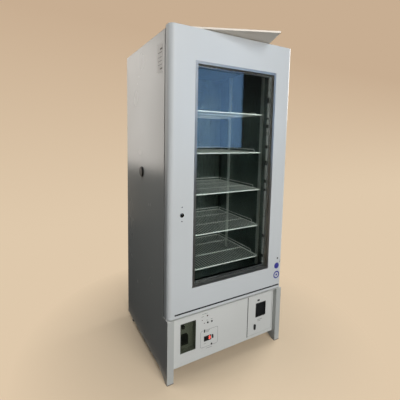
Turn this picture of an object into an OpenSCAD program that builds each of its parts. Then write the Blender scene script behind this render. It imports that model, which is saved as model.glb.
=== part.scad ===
// Upright refrigerated laboratory incubator with a glazed door.
// The origin is on the floor, midway between the sides and between the door's face and the back.
// +X is to the right as seen from the front, +Y to the back and +Z up. All sizes are in millimetres.

/* [Cabinet] */
// Width over the side panels
cabinet_w = 700; // [660:10:760]
// Depth of the cabinet behind the door gap
cabinet_d = 568; // [540:2:620]
// Height of the cabinet's top panel above the floor
cabinet_h = 1607; // [1580:1:1680]
// Thickness of the painted outer sheet
sheet = 1.2; // [0.8:0.1:1.6]
// Thickness of the plastic frame around the chamber's mouth
frame_t = 4; // [3:0.5:6]

/* [Base] */
// Height of the ledge under the door
base_h = 312; // [300:1:330]
// Height of the machine room's ceiling above the ledge
deck_rise = 66; // [56:1:80]
// Height of the machine room's floor plate
floor_plate_z = 50; // [40:1:60]
// Thickness of the machine room's floor plate
floor_plate_t = 2; // [1.5:0.5:3]
// Width of each front column
column_w = 33; // [26:1:45]
// Depth of the flat end of a front leg
leg_flat = 25; // [20:1:35]
// Depth of a front leg where it meets the skirt
leg_depth = 95; // [80:1:120]
// Height of the side skirts above the floor
skirt_z = 30; // [20:1:38]
// Thickness of the glide under a front leg
glide_h = 3; // [2:0.5:6]
// Radius of a rear foot's pad
foot_r = 20; // [14:1:21]
// Distance from a rear foot's axis to the back
foot_inset = 70; // [40:1:120]

/* [Chamber] */
// Thickness of the insulated side walls
side_wall = 92; // [88:1:100]
// Thickness of the insulated rear wall
rear_wall = 54; // [52:1:68]
// Thickness of the insulated ceiling
ceiling_wall = 77; // [60:1:90]
// Thickness of the insulated floor
floor_wall = 52; // [47:1:60]
// Thickness of the stainless liner
liner_t = 1; // [0.8:0.1:1.5]
// Depth of the air duct behind the duct panel
duct_d = 55; // [52:1:60]
// Gap between the duct panel and the liner's side walls
duct_side_gap = 8; // [2:1:20]

/* [Shelves] */
// Distance from a shelf's side to the chamber's wall
shelf_side_gap = 15; // [13:1:22]
// Distance from a shelf's back to the duct panel
shelf_rear_gap = 14; // [11:1:40]
// Distance from the chamber's mouth to a shelf's front
shelf_setback = 30; // [25:1:36]
// Slots from the lowest slot up to each shelf
shelf_slots = [0, 7, 15, 23, 31];
// Radius of a shelf's border wire
border_r = 3; // [2.5:0.25:3.5]
// Radius of a shelf's fine wires
wire_r = 1.25; // [1:0.25:1.5]
// Distance between two fine wires
wire_pitch = 15; // [12:1:24]
// Height of the side rails above the shelf
rail_h = 16; // [12:1:25]
// Distance from a shelf's front to its side rails
rail_setback = 65; // [40:5:100]

/* [Shelf standards] */
// Height of the lowest shelf slot above the chamber floor
first_slot = 54; // [40:1:60]
// Distance between two slots
slot_pitch = 25.4; // [24:0.1:27]
// Width of a standard
standard_w = 16; // [14:1:20]
// Depth of a standard's channel
standard_d = 9; // [8:0.5:10]
// Distance from the chamber's mouth to the front standards
standard_front = 58; // [50:1:80]
// Distance from the front standards to the rear ones
standard_span = 300; // [240:5:330]

/* [Door] */
// Thickness of the door
door_t = 44; // [40:1:56]
// Gap between the door and the cabinet
door_gap = 8; // [7:0.5:10]
// Height of the door above the cabinet's top
door_rise = 11; // [6:1:16]
// Gap between the door and the ledge
door_base_gap = 6.5; // [5:0.5:9]
// Radius of the door's upright front edges
door_edge_r = 24; // [12:1:26]
// Distance from the door's left edge to the window trim
window_left = 124; // [110:1:140]
// Distance from the window trim to the door's right edge
window_right = 107; // [95:1:125]
// Distance from the door's lower edge to the window trim
window_bottom = 129.5; // [120:0.5:150]
// Distance from the window trim to the door's top
window_top = 136; // [120:1:160]
// Width of the window trim on the door's face
trim_w = 12; // [9:0.5:16]
// Thickness of the window trim
trim_t = 1.5; // [1:0.25:2.5]
// Depth of the outer pane behind the door's face
pane_depth = 15; // [8:1:20]
// Thickness of the outer pane
outer_pane_t = 5; // [4:0.5:6]
// Thickness of the inner pane
inner_pane_t = 4; // [3:0.5:5]
// Distance between the two panes
pane_space = 15; // [9:1:16]
// Width of the magnetic gasket
gasket_w = 14; // [10:1:16]

/* [Finger groove] */
// Distance from the door's lower edge to the groove's centre line
groove_z = 17; // [14:1:26]
// Height of the groove
groove_h = 5.5; // [4:0.5:10]
// Depth of the groove
groove_d = 10; // [6:1:16]
// Distance from the door's left edge to the groove
groove_left = 36; // [28:1:60]
// Distance from the groove to the door's right edge
groove_right = 22; // [12:1:60]

/* [Door hinge] */
// Distance from the hinge axis to the side
hinge_in = 16; // [14:1:18]
// Distance from the hinge axis to the door's face
hinge_back = 26; // [24:1:27]
// Radius of the hinge pins
hinge_pin_r = 5; // [4:0.5:6]
// Outer radius of the nylon bushes
bush_r = 8; // [7:0.5:9]
// Depth of the nylon bushes
bush_l = 14; // [12:1:20]
// Thickness of the hinge brackets
bracket_t = 3; // [2:0.5:4]

/* [Door lock] */
// Distance from the gasket to the lock's barrel
lock_gap = 3; // [2:0.5:8]
// Height of the lock above the floor
lock_z = 802; // [700:1:900]
// Radius of the lock's key barrel
barrel_r = 7; // [6:0.5:8]
// Radius of the lock's face ring
lock_ring_r = 10; // [9.5:0.5:13]
// Reach of the lock's cam
cam_l = 26; // [24:1:27]

/* [Control panel] */
// Setback of the control panel behind the columns' faces
panel_back = 25; // [20:1:30]
// Depth of the panel's lower return
panel_return = 14; // [10:1:20]
// Distance from the left column to the smoked cover
cover_in = 47.4; // [42:0.2:57]
// Width of the smoked cover
cover_w = 81.6; // [70:0.2:90]
// Distance from the ledge down to the smoked cover
cover_drop = 49; // [44:1:55]
// Height of the smoked cover
cover_h = 150; // [130:1:160]
// Thickness of the smoked cover
cover_t = 2; // [1.5:0.25:3]
// Depth of the tray behind the smoked cover
tray_d = 34; // [30:1:45]
// Wall of that tray
tray_wall = 2; // [1.5:0.25:3]
// Radius of the thermostat dial
dial_r = 10; // [7:0.5:12]
// Radius of the push buttons
button_r = 4.5; // [3.5:0.25:6]
// Travel of the push buttons
button_travel = 2; // [1:0.25:3]
// Width of the display window
display_w = 43; // [36:1:50]
// Height of the display window
display_h = 27; // [20:1:30]
// Width of the light switch
rocker_w = 7.4; // [6:0.2:9]
// Height of the light switch
rocker_h = 18; // [14:1:22]
// Tilt of the light switch each way
rocker_tilt = 8; // [5:1:10]

/* [Service hatch] */
// Distance from the hatch to the right column
hatch_in = 9; // [8:1:16]
// Width of the hatch
hatch_w = 170; // [150:1:180]
// Distance from the floor plate up to the hatch
hatch_bottom = 16; // [12:1:22]
// Distance from the ledge down to the hatch
hatch_top = 12; // [9:1:20]
// Depth of the hatch's returns
hatch_d = 12; // [9:1:14]
// Gap around the hatch
hatch_gap = 1.5; // [1.4:0.1:2.5]
// Width of the hatch's black window
hatch_window_w = 71; // [60:1:80]
// Height of the hatch's black window
hatch_window_h = 80; // [70:1:84]
// Height of the latch above the hatch's bottom
latch_up = 45; // [30:1:50]
// Reach of the latch's cam
latch_cam_l = 55; // [52:1:60]

/* [Access port] */
// Distance from the port's centre to the middle of the depth
port_y = 40; // [-40:5:80]
// Height of the port's centre above the floor
port_z = 964; // [900:1:1100]
// Bore radius of the port's sleeve
port_r = 20; // [15:1:25]
// Wall of the port's sleeve
port_wall = 5; // [3:0.5:6]
// Thickness of the port's flange
port_flange_t = 3; // [2:0.5:5]

/* [Machinery] */
// Radius of the circulation fan
fan_r = 66; // [50:1:70]
// Height of the circulation fan's axis below the chamber's ceiling
fan_down = 110; // [95:1:140]
// Radius of the condenser fan
condenser_fan_r = 88; // [70:1:95]
// Width of the condenser
condenser_w = 300; // [260:5:320]
// Depth of the condenser
condenser_d = 40; // [30:1:50]
// Radius of the compressor's shell
compressor_r = 80; // [65:1:90]
// Height of the compressor's shell
compressor_h = 190; // [150:5:220]
// Width of the evaporator
evaporator_w = 400; // [340:5:440]
// Height of the evaporator
evaporator_h = 300; // [240:5:320]

/* [Loose cover panel] */
// Length of the loose panel that lies on the top
loose_l = 440; // [380:5:480]
// Width of the loose panel
loose_w = 250; // [220:5:280]
// Height of its turned-up edges
loose_edge = 8; // [5:1:12]
// Turn of the loose panel to the front, in degrees
loose_turn = 21; // [15:1:25]
// Overhang of its front corner past the door's face
loose_overhang = 124; // [80:1:130]
// Distance of that corner to the right of the middle
loose_corner_x = 142; // [100:1:160]

/* [Clearances] */
// Running clearance of a pin or shaft in its bore
run_gap = 0.05; // [0.02:0.01:0.08]
// Gap between pieces that are seated or slide past each other
seat_gap = 0.3; // [0.2:0.05:0.5]

/* [Hidden] */
$fn = 48;
BIG = 3000;
side_x = cabinet_w / 2;
total_d = door_t + door_gap + cabinet_d;
front_y = -total_d / 2;
back_y = total_d / 2;
door_back_y = front_y + door_t;
flange_y = door_back_y + door_gap;
liner_y = flange_y + frame_t;
rear_wall_y = back_y - rear_wall;
inner_x = side_x - sheet;
roof_z = cabinet_h - sheet;
deck_z = base_h + deck_rise;
chamber_z = deck_z + floor_wall;
ceiling_z = cabinet_h - ceiling_wall;
chamber_h = ceiling_z - chamber_z;
half_chamber = side_x - side_wall;
chamber_w = 2 * half_chamber;
duct_y = rear_wall_y - duct_d;

column_in_x = side_x - column_w;
leg_flat_y = front_y + leg_flat;
leg_back_y = front_y + leg_depth;
foot_y = back_y - foot_inset;
foot_x = side_x - foot_r - 5;

door_z = base_h + door_base_gap;
door_top = cabinet_h + door_rise;
door_h = door_top - door_z;
window_x = -side_x + window_left;
window_w = cabinet_w - window_left - window_right;
window_z = door_z + window_bottom;
window_h = door_h - window_bottom - window_top;
hinge_x = side_x - hinge_in;
hinge_y = front_y + hinge_back;
sleeve_in = trim_w - trim_t;
gasket_lap = 2;
gasket_x = half_chamber + gasket_lap + gasket_w;
outer_pane_y = front_y + pane_depth;
inner_pane_y = outer_pane_y + outer_pane_t + pane_space;
lock_x = -gasket_x - lock_gap - barrel_r;
cam_t = 2.2;
cam_back = 2.4;
cam_y = door_back_y + cam_back;

panel_y = front_y + panel_back;
panel_rear = panel_y + sheet;
panel_x = column_in_x - seat_gap;
panel_z = floor_plate_z - sheet;
panel_top = base_h - sheet - seat_gap;
cover_x = -column_in_x + cover_in;
cover_z = base_h - cover_drop - cover_h;
cover_roll_r = 1.6;
cover_axis_x = cover_x + cover_roll_r;
cover_axis_y = panel_rear + 1.5;
cover_pin_r = 1;
tray_margin = 2;
tray_x = cover_x - tray_margin - tray_wall;
tray_w = cover_w + 2 * (tray_margin + tray_wall);
tray_z = cover_z - tray_margin - tray_wall;
tray_h = cover_h + 2 * (tray_margin + tray_wall);
tray_back = panel_rear + tray_d;
dial_x = cover_x + 26;
dial_z = cover_z + cover_h - 37;
timer_x = cover_x + 12;
timer_z = cover_z + 29;
timer_w = 36;
timer_h = 46;
controls_x = cover_x + cover_w;
button_z = cover_z + 118;
button_up_x = controls_x + 68;
button_down_x = controls_x + 92;
alarm_x = controls_x + 93;
alarm_z = cover_z - 4;
display_x = controls_x + 48;
display_z = cover_z + 20;
rocker_x = controls_x + 99;
rocker_z = cover_z + 35;
lamp_spots = [[controls_x + 66, cover_z + 154, 3.5], [controls_x + 36, cover_z + 137, 2],
    [controls_x + 48, cover_z + 119, 2]];
box_x = controls_x + 16;
box_w = 134;
box_z = cover_z - 25;
box_h = 204;
box_y = panel_rear + 22;
box_d = 34;

hatch_x = column_in_x - hatch_in - hatch_w;
hatch_z = floor_plate_z + hatch_bottom;
hatch_h = base_h - hatch_top - hatch_z;
hatch_axis_x = hatch_x + hatch_w - 3;
hatch_axis_y = panel_y + 3;
hatch_pin_r = 1.5;
hatch_right_gap = hatch_gap + 0.5;
hatch_window_x = hatch_x + 53;
hatch_window_z = hatch_z + hatch_h - 137;
latch_x = hatch_x + 47;
latch_z = hatch_z + latch_up;

standard_x = half_chamber - standard_d;
shelf_x = half_chamber - shelf_side_gap;
shelf_front_y = flange_y + shelf_setback;
shelf_back_y = duct_y - shelf_rear_gap;
clip_t = 2.4;
fan_z = ceiling_z - fan_down;
fan_y = duct_y + 15;
fan_coil_gap = 60;
evaporator_z = fan_z - fan_r - fan_coil_gap - evaporator_h;
machine_z = floor_plate_z + floor_plate_t;
condenser_x = -20;
condenser_y = leg_back_y + 10;
condenser_h = 240;
condenser_fan_x = condenser_x + condenser_w / 2;
condenser_fan_z = machine_z + condenser_h / 2;
compressor_x = -170;
compressor_y = 120;
inlet_x = 240;
inlet_z = 110;

// Box from its low corner to its high corner
module span(low, high) {
    translate(low)
        cube([high[0] - low[0], high[1] - low[1], high[2] - low[2]]);
}

// Cylinder along Y from y0 to y1
module rod_y(x, y0, y1, z, r) {
    translate([x, y0, z])
        rotate([-90, 0, 0])
            cylinder(h = y1 - y0, r = r);
}

// Cylinder along X from x0 to x1
module rod_x(x0, x1, y, z, r) {
    translate([x0, y, z])
        rotate([0, 90, 0])
            cylinder(h = x1 - x0, r = r);
}

// Outline in Y and Z, thickened along X from x
module slab_x(x, t) {
    translate([x, 0, 0])
        rotate([90, 0, 90])
            linear_extrude(t)
                children();
}

// Outline in X and Z, thickened along Y from y
module slab_y(y, t) {
    translate([0, y + t, 0])
        rotate([90, 0, 0])
            linear_extrude(t)
                children();
}

// ---- Cabinet shell ----

// Outer sheet of one side, its front column and the column's inner return, drawn on the left
module side_panel_shell() {
    slab_x(-side_x, sheet)
        polygon([[front_y, glide_h], [front_y, base_h], [flange_y, base_h], [flange_y, roof_z],
            [back_y, roof_z], [back_y, skirt_z], [leg_back_y, skirt_z], [leg_flat_y, glide_h]]);
    span([-side_x, front_y, glide_h], [-column_in_x, front_y + sheet, base_h - sheet]);
    slab_x(-column_in_x - sheet, sheet)
        polygon([[front_y, glide_h], [front_y, base_h - sheet], [leg_back_y, base_h - sheet],
            [leg_back_y, skirt_z], [leg_flat_y, glide_h]]);
}

module side_panel_left() {
    color("lightgray")
        difference() {
            side_panel_shell();
            rod_x(-side_x - 1, -inner_x + 1, port_y, port_z, port_r + port_wall);
        }
}

module side_panel_right() {
    color("lightgray")
        mirror([1, 0, 0])
            side_panel_shell();
}

module top_panel() {
    color("lightgray")
        span([-side_x, flange_y, roof_z], [side_x, back_y, cabinet_h]);
}

louvre_n = 9;
louvre_h = 6;
louvre_w = 230;
louvre_pitch = 18;
louvre_z = 120;

// Back sheet with two banks of air slots and the power inlet's cut-out
module rear_panel() {
    color("lightgray")
        difference() {
            slab_y(back_y - sheet, sheet)
                difference() {
                    translate([-inner_x, machine_z])
                        square([2 * inner_x, roof_z - machine_z]);
                    for (side = [-1, 1], i = [0 : louvre_n - 1])
                        translate([side * (louvre_w / 2 + 30) - louvre_w / 2, louvre_z + 50 + i * louvre_pitch])
                            square([louvre_w, louvre_h]);
                    translate([inlet_x - inlet_w / 2, inlet_z - inlet_h / 2])
                        square([inlet_w, inlet_h]);
                }
        }
}

module insulation_foam() {
    color("khaki")
        difference() {
            span([-inner_x, liner_y, deck_z], [inner_x, back_y - sheet, roof_z]);
            span([-half_chamber - liner_t, liner_y - 1, chamber_z - liner_t],
                [half_chamber + liner_t, rear_wall_y + liner_t, ceiling_z + liner_t]);
            rod_x(-side_x, -half_chamber, port_y, port_z, port_r + port_wall);
        }
}

module chamber_liner() {
    color("silver")
        difference() {
            span([-half_chamber - liner_t, liner_y, chamber_z - liner_t],
                [half_chamber + liner_t, rear_wall_y + liner_t, ceiling_z + liner_t]);
            span([-half_chamber, liner_y - 1, chamber_z], [half_chamber, rear_wall_y, ceiling_z]);
            rod_x(-half_chamber - liner_t - 1, -half_chamber + 1, port_y, port_z, port_r + port_wall);
        }
}

module front_frame() {
    color("gainsboro")
        slab_y(flange_y, frame_t)
            difference() {
                translate([-inner_x, base_h])
                    square([2 * inner_x, roof_z - base_h]);
                translate([-half_chamber, chamber_z])
                    square([chamber_w, chamber_h]);
            }
}

// Ledge under the door, riser behind the frame and ceiling of the machine room in one bent sheet
module machine_deck() {
    color("lightgray")
        slab_x(-inner_x, 2 * inner_x)
            polygon([[front_y, base_h - sheet], [front_y, base_h], [liner_y, base_h],
                [liner_y, deck_z], [back_y - sheet, deck_z], [back_y - sheet, deck_z - sheet],
                [liner_y + sheet, deck_z - sheet], [liner_y + sheet, base_h - sheet]]);
}

module floor_plate() {
    color("darkgray")
        difference() {
            translate([0, 0, floor_plate_z])
                linear_extrude(floor_plate_t)
                    polygon([[-panel_x, panel_rear], [panel_x, panel_rear], [panel_x, leg_back_y + seat_gap],
                        [inner_x, leg_back_y + seat_gap], [inner_x, back_y], [-inner_x, back_y],
                        [-inner_x, leg_back_y + seat_gap], [-panel_x, leg_back_y + seat_gap]]);
            for (side = [-1, 1])
                translate([side * foot_x, foot_y, floor_plate_z - 1])
                    cylinder(h = floor_plate_t + 2, r = foot_stem_r + seat_gap);
        }
}

// ---- Feet ----

foot_stem_r = 5;
foot_pad_h = 8;
glide_plug_h = 12;

module front_glides() {
    color("dimgray")
        for (side = [-1, 1]) {
            span([side * (side_x - column_w / 2) - column_w / 2, front_y, 0],
                [side * (side_x - column_w / 2) + column_w / 2, leg_flat_y, glide_h]);
            span([side * (side_x - column_w / 2) - column_w / 2 + sheet + seat_gap, front_y + sheet + seat_gap, 0],
                [side * (side_x - column_w / 2) + column_w / 2 - sheet - seat_gap, leg_flat_y, glide_plug_h]);
        }
}

// Adjustable feet: a pad, a threaded stem through the floor plate and a nut on each side of it
module rear_feet() {
    color("dimgray")
        for (side = [-1, 1])
            translate([side * foot_x, foot_y, 0]) {
                cylinder(h = foot_pad_h, r = foot_r);
                cylinder(h = machine_z + 12, r = foot_stem_r);
                translate([0, 0, floor_plate_z - 5])
                    cylinder(h = 5, r = 9, $fn = 6);
                translate([0, 0, machine_z])
                    cylinder(h = 5, r = 9, $fn = 6);
            }
}

// ---- Control panel ----

lamp_gap = 0.1;
cover_gap = 1;
cover_gap_left = 1.9;
inlet_w = 30;
inlet_h = 24;

module control_panel() {
    color("lightgray")
        difference() {
            union() {
                span([-panel_x, panel_y, panel_z], [panel_x, panel_rear, panel_top]);
                span([-panel_x, panel_y, panel_z], [panel_x, panel_rear + panel_return, floor_plate_z]);
                for (z = [hatch_z - hatch_gap - 5, hatch_z + hatch_h + hatch_gap])
                    span([hatch_axis_x - 5, panel_y, z], [hatch_axis_x + 5, hatch_axis_y + 4, z + 5]);
                span([hatch_x - hatch_gap - 9, panel_rear - 0.5, latch_z - 12],
                    [hatch_x - hatch_gap - 1.5, panel_y + hatch_d, latch_z + 12]);
            }
            translate([cover_x - cover_gap_left, panel_y - 1, cover_z - cover_gap])
                cube([cover_w + cover_gap_left + cover_gap, sheet + 2, cover_h + 2 * cover_gap]);
            translate([display_x - lamp_gap, panel_y - 1, display_z - lamp_gap])
                cube([display_w + 2 * lamp_gap, sheet + 2, display_h + 2 * lamp_gap]);
            translate([rocker_x - rocker_w / 2 - seat_gap, panel_y - 1, rocker_z - rocker_h / 2 - 1])
                cube([rocker_w + 2 * seat_gap, sheet + 2, rocker_h + 2]);
            translate([hatch_x - hatch_gap, panel_y - 1, hatch_z - hatch_gap])
                cube([hatch_w + hatch_gap + hatch_right_gap, sheet + 2, hatch_h + 2 * hatch_gap]);
            for (x = [button_up_x, button_down_x])
                rod_y(x, panel_y - 1, panel_rear + 1, button_z, button_r + lamp_gap);
            rod_y(alarm_x, panel_y - 1, panel_rear + 1, alarm_z, button_r + lamp_gap);
            for (spot = lamp_spots)
                rod_y(spot[0], panel_y - 1, panel_rear + 1, spot[1], spot[2] + lamp_gap);
            translate([hatch_axis_x, hatch_axis_y, hatch_z - hatch_gap - 6])
                cylinder(h = hatch_h + 2 * hatch_gap + 12, r = hatch_pin_r + run_gap);
        }
}

// Black tray behind the smoked cover, with bores for the cover's pins and the dial's shaft
module control_tray() {
    color("dimgray")
        difference() {
            span([tray_x, panel_rear, tray_z], [tray_x + tray_w, tray_back, tray_z + tray_h]);
            span([tray_x + tray_wall, panel_rear - 1, tray_z + tray_wall],
                [tray_x + tray_w - tray_wall, tray_back - tray_wall, tray_z + tray_h - tray_wall]);
            translate([cover_axis_x, cover_axis_y, tray_z - 1])
                cylinder(h = tray_h + 2, r = cover_pin_r + run_gap);
            rod_y(dial_x, tray_back - tray_wall - 1, tray_back + 1, dial_z, dial_shaft_r + run_gap);
        }
}

// Smoked acrylic cover with a rolled hinge edge and a short pin at each end
module smoked_cover() {
    color([0.12, 0.13, 0.12, 0.7]) {
        span([cover_x, panel_y, cover_z], [cover_x + cover_w, panel_y + cover_t, cover_z + cover_h]);
        translate([cover_axis_x, cover_axis_y, cover_z])
            cylinder(h = cover_h, r = cover_roll_r);
        span([cover_axis_x - 1.2, panel_y + cover_t - 0.5, cover_z],
            [cover_axis_x + 1.2, cover_axis_y, cover_z + cover_h]);
        translate([cover_axis_x, cover_axis_y, cover_z - tray_margin - tray_wall + 0.5])
            cylinder(h = cover_h + 2 * (tray_margin + tray_wall) - 1, r = cover_pin_r);
    }
}

dial_shaft_r = 3;
dial_h = 12;
dial_back = tray_back - tray_wall - seat_gap;

module thermostat_dial() {
    color("black")
        difference() {
            union() {
                rod_y(dial_x, dial_back - dial_h, dial_back, dial_z, dial_r);
                rod_y(dial_x, dial_back - 1, tray_back + 5, dial_z, dial_shaft_r);
            }
            span([dial_x - 0.8, dial_back - dial_h - 1, dial_z + 2],
                [dial_x + 0.8, dial_back - dial_h + 1, dial_z + dial_r + 1]);
        }
}

timer_d = 18;
timer_back = tray_back - tray_wall;

module timer_unit() {
    color("black")
        difference() {
            span([timer_x, timer_back - timer_d, timer_z], [timer_x + timer_w, timer_back, timer_z + timer_h]);
            span([timer_x + 4, timer_back - timer_d - 1, timer_z + 18],
                [timer_x + timer_w - 4, timer_back - timer_d + 1.5, timer_z + timer_h - 5]);
        }
}

// Steel box that carries the controller behind the middle of the panel
module control_box() {
    color("darkgray")
        difference() {
            union() {
                span([box_x, box_y, box_z], [box_x + box_w, box_y + box_d, box_z + box_h]);
                for (z = [box_z, box_z + box_h - 12], x = [box_x, box_x + box_w - 12])
                    span([x, panel_rear, z], [x + 12, box_y + 1, z + 12]);
            }
            span([box_x + 2, box_y + 2, box_z + 2], [box_x + box_w - 2, box_y + box_d - 2, box_z + box_h - 2]);
        }
}

module display_module() {
    color("black") {
        span([display_x, panel_y - 0.8, display_z], [display_x + display_w, box_y, display_z + display_h]);
    }
}

button_proud = 2.5;

// Push button: a stem through the panel with a collar behind it
module push_button(x, z) {
    rod_y(x, panel_y - button_proud, box_y - button_travel - seat_gap, z, button_r);
    rod_y(x, panel_rear + seat_gap, panel_rear + seat_gap + 2, z, button_r + 1.5);
}

module up_button() { color("black") push_button(button_up_x, button_z); }
module down_button() { color("black") push_button(button_down_x, button_z); }
module alarm_button() { color("black") push_button(alarm_x, alarm_z); }

rocker_axis_y = panel_y + 0.6;
rocker_pivot_r = 2;

// Rocker on a round pivot bar, at rest with its upper end pressed in
module light_switch() {
    color("black")
        translate([rocker_x, rocker_axis_y, rocker_z])
            rotate([-rocker_tilt, 0, 0]) {
                span([-rocker_w / 2, -3, -rocker_h / 2], [rocker_w / 2, 1.5, rocker_h / 2]);
                rod_x(-rocker_w / 2, rocker_w / 2, 0, 0, rocker_pivot_r);
                span([-rocker_w / 2, 1, -4], [rocker_w / 2, box_y - rocker_axis_y - 2.5, 4]);
            }
}

module indicator_lamps() {
    color("darkred")
        for (spot = lamp_spots) {
            rod_y(spot[0], panel_y - 1.2, box_y, spot[1], spot[2]);
        }
}

// ---- Service hatch ----

module service_hatch() {
    color("lightgray")
        difference() {
            union() {
                difference() {
                    span([hatch_x, panel_y, hatch_z], [hatch_x + hatch_w, panel_y + hatch_d, hatch_z + hatch_h]);
                    span([hatch_x + sheet, panel_y + sheet, hatch_z + sheet],
                        [hatch_x + hatch_w - sheet, panel_y + hatch_d + 1, hatch_z + hatch_h - sheet]);
                }
                for (z = [hatch_z - hatch_gap - 4.5, hatch_z + hatch_h - 0.5])
                    translate([hatch_axis_x, hatch_axis_y, z])
                        cylinder(h = hatch_gap + 5, r = hatch_pin_r);
            }
            span([hatch_window_x + 2, panel_y - 1, hatch_window_z + 2],
                [hatch_window_x + hatch_window_w - 2, panel_rear + 1, hatch_window_z + hatch_window_h - 2]);
            span([hatch_lamp_x - lamp_gap, panel_y - 1, hatch_lamp_z - lamp_gap],
                [hatch_lamp_x + hatch_lamp_w + lamp_gap, panel_rear + 1, hatch_lamp_z + hatch_lamp_h + lamp_gap]);
            rod_y(latch_x, panel_y - 1, panel_rear + 1, latch_z, latch_shaft_r + run_gap);
        }
}

hatch_lamp_x = hatch_window_x + 11;
hatch_lamp_z = hatch_window_z + hatch_window_h + 12;
hatch_lamp_w = 15;
hatch_lamp_h = 8;

// Black window in a raised bezel, and the signal lamp above it
module hatch_window() {
    color("black") {
        difference() {
            union() {
                span([hatch_window_x, panel_y - 1.5, hatch_window_z],
                    [hatch_window_x + hatch_window_w, panel_y, hatch_window_z + hatch_window_h]);
                span([hatch_window_x + 2.3, panel_y - 0.5, hatch_window_z + 2.3],
                    [hatch_window_x + hatch_window_w - 2.3, panel_y + hatch_d - 3,
                        hatch_window_z + hatch_window_h - 2.3]);
            }
            span([hatch_window_x + 5, panel_y - 2, hatch_window_z + 5],
                [hatch_window_x + hatch_window_w - 5, panel_y + 4, hatch_window_z + hatch_window_h - 5]);
        }
        span([hatch_lamp_x, panel_y - 1, hatch_lamp_z],
            [hatch_lamp_x + hatch_lamp_w, panel_y + 6, hatch_lamp_z + hatch_lamp_h]);
    }
}

latch_shaft_r = 3;
latch_knob_w = 9;
latch_knob_l = 27;

// Wing knob on a shaft with a cam behind the hatch
module hatch_latch() {
    color("black") {
        span([latch_x - latch_knob_w / 2, panel_y - 8, latch_z - latch_knob_l / 2],
            [latch_x + latch_knob_w / 2, panel_y - seat_gap, latch_z + latch_knob_l / 2]);
        rod_y(latch_x, panel_y - 1, panel_y + hatch_d + 2.5, latch_z, latch_shaft_r);
        span([latch_x - 3, panel_y + hatch_d + 0.5, latch_z - 5],
            [latch_x + 3, panel_y + hatch_d + 2.5, latch_z + latch_cam_l]);
    }
}

// ---- Door ----

// Plan of the door, inset by a wall, open to the back when it reaches past it
module door_plan(inset, back) {
    r = door_edge_r - inset;
    x = side_x - inset;
    y = front_y + inset;
    intersection() {
        translate([-x, y])
            square([2 * x, back - y]);
        union() {
            translate([-x, y + r])
                square([2 * x, door_t]);
            translate([-x + r, y])
                square([2 * (x - r), door_t]);
            for (side = [-1, 1])
                translate([side * (x - r), y + r])
                    circle(r = r, $fn = 96);
        }
    }
}

// Opening through the door for the window trim, from y0 to y1, inset from the trim's outline
module window_block(inset, y0, y1) {
    span([window_x + inset, y0, window_z + inset],
        [window_x + window_w - inset, y1, window_z + window_h - inset]);
}

module groove_block(margin, depth) {
    span([-side_x + groove_left - margin, front_y - 1 + (margin > 0 ? 1 : 0), door_z + groove_z - groove_h / 2 - margin],
        [side_x - groove_right + margin, front_y + depth, door_z + groove_z + groove_h / 2 + margin]);
}

module bush_bores(r) {
    for (z = [door_z - 1, door_top - bush_l])
        translate([hinge_x, hinge_y, z])
            cylinder(h = bush_l + 1, r = r);
}

module door_skin() {
    color("gainsboro")
        difference() {
            union() {
                difference() {
                    translate([0, 0, door_z])
                        linear_extrude(door_h)
                            door_plan(0, door_back_y);
                    translate([0, 0, door_z + sheet])
                        linear_extrude(door_h - 2 * sheet)
                            door_plan(sheet, door_back_y + 1);
                }
                groove_block(sheet, groove_d + sheet);
            }
            window_block(sleeve_in, front_y - 1, front_y + sheet + 1);
            groove_block(0, groove_d);
            rod_y(lock_x, front_y - 1, front_y + sheet + 1, lock_z, barrel_r + 1.5);
            bush_bores(bush_r + run_gap);
        }
}

module door_foam() {
    color("khaki")
        difference() {
            translate([0, 0, door_z + sheet])
                linear_extrude(door_h - 2 * sheet)
                    door_plan(sheet, door_back_y - sheet);
            window_block(sleeve_in, front_y - 1, door_back_y + 1);
            groove_block(sheet, groove_d + sheet);
            rod_y(lock_x, front_y - 1, door_back_y + 1, lock_z, barrel_r + 1.5);
            bush_bores(bush_r + run_gap);
        }
}

module door_inner_panel() {
    color("gainsboro")
        difference() {
            span([-inner_x + seat_gap, door_back_y - sheet, door_z + sheet],
                [inner_x - seat_gap, door_back_y, door_top - sheet]);
            window_block(sleeve_in, front_y - 1, door_back_y + 1);
            rod_y(lock_x, door_back_y - sheet - 1, door_back_y + 1, lock_z, barrel_r + 1.5);
        }
}

// Aluminium trim: a rim on the face, a sleeve through the door and a rim on the inside
module window_trim() {
    color("silver")
        difference() {
            union() {
                window_block(0, front_y - trim_t, front_y);
                window_block(sleeve_in, front_y - 0.5, door_back_y + 0.5);
                window_block(0, door_back_y, door_back_y + trim_t);
            }
            window_block(trim_w, front_y - trim_t - 1, door_back_y + trim_t + 1);
        }
}

module outer_pane() {
    color([0.1, 0.14, 0.14, 0.5])
        window_block(trim_w + seat_gap, outer_pane_y, outer_pane_y + outer_pane_t);
}

module inner_pane() {
    color([0.1, 0.14, 0.14, 0.5])
        window_block(trim_w + seat_gap, inner_pane_y, inner_pane_y + inner_pane_t);
}

module door_gasket() {
    color("dimgray")
        slab_y(door_back_y, door_gap - seat_gap)
            difference() {
                translate([-gasket_x, chamber_z - gasket_lap - gasket_w])
                    square([2 * gasket_x, chamber_h + 2 * (gasket_lap + gasket_w)]);
                translate([-half_chamber - gasket_lap, chamber_z - gasket_lap])
                    square([chamber_w + 2 * gasket_lap, chamber_h + 2 * gasket_lap]);
            }
}

module door_bushes() {
    color("white")
        for (z = [door_z, door_top - bush_l])
            translate([hinge_x, hinge_y, z])
                difference() {
                    cylinder(h = bush_l, r = bush_r);
                    translate([0, 0, -1])
                        cylinder(h = bush_l + 2, r = hinge_pin_r + run_gap);
                }
}

// ---- Door hinge ----

hinge_arm_gap = 1;
bracket_w = 34;
bracket_foot = 70;
bracket_nose = 14;
bracket_screws = [26, 54];
bracket_screw_r = 2.5;
arm_z = door_top + hinge_arm_gap;

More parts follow.
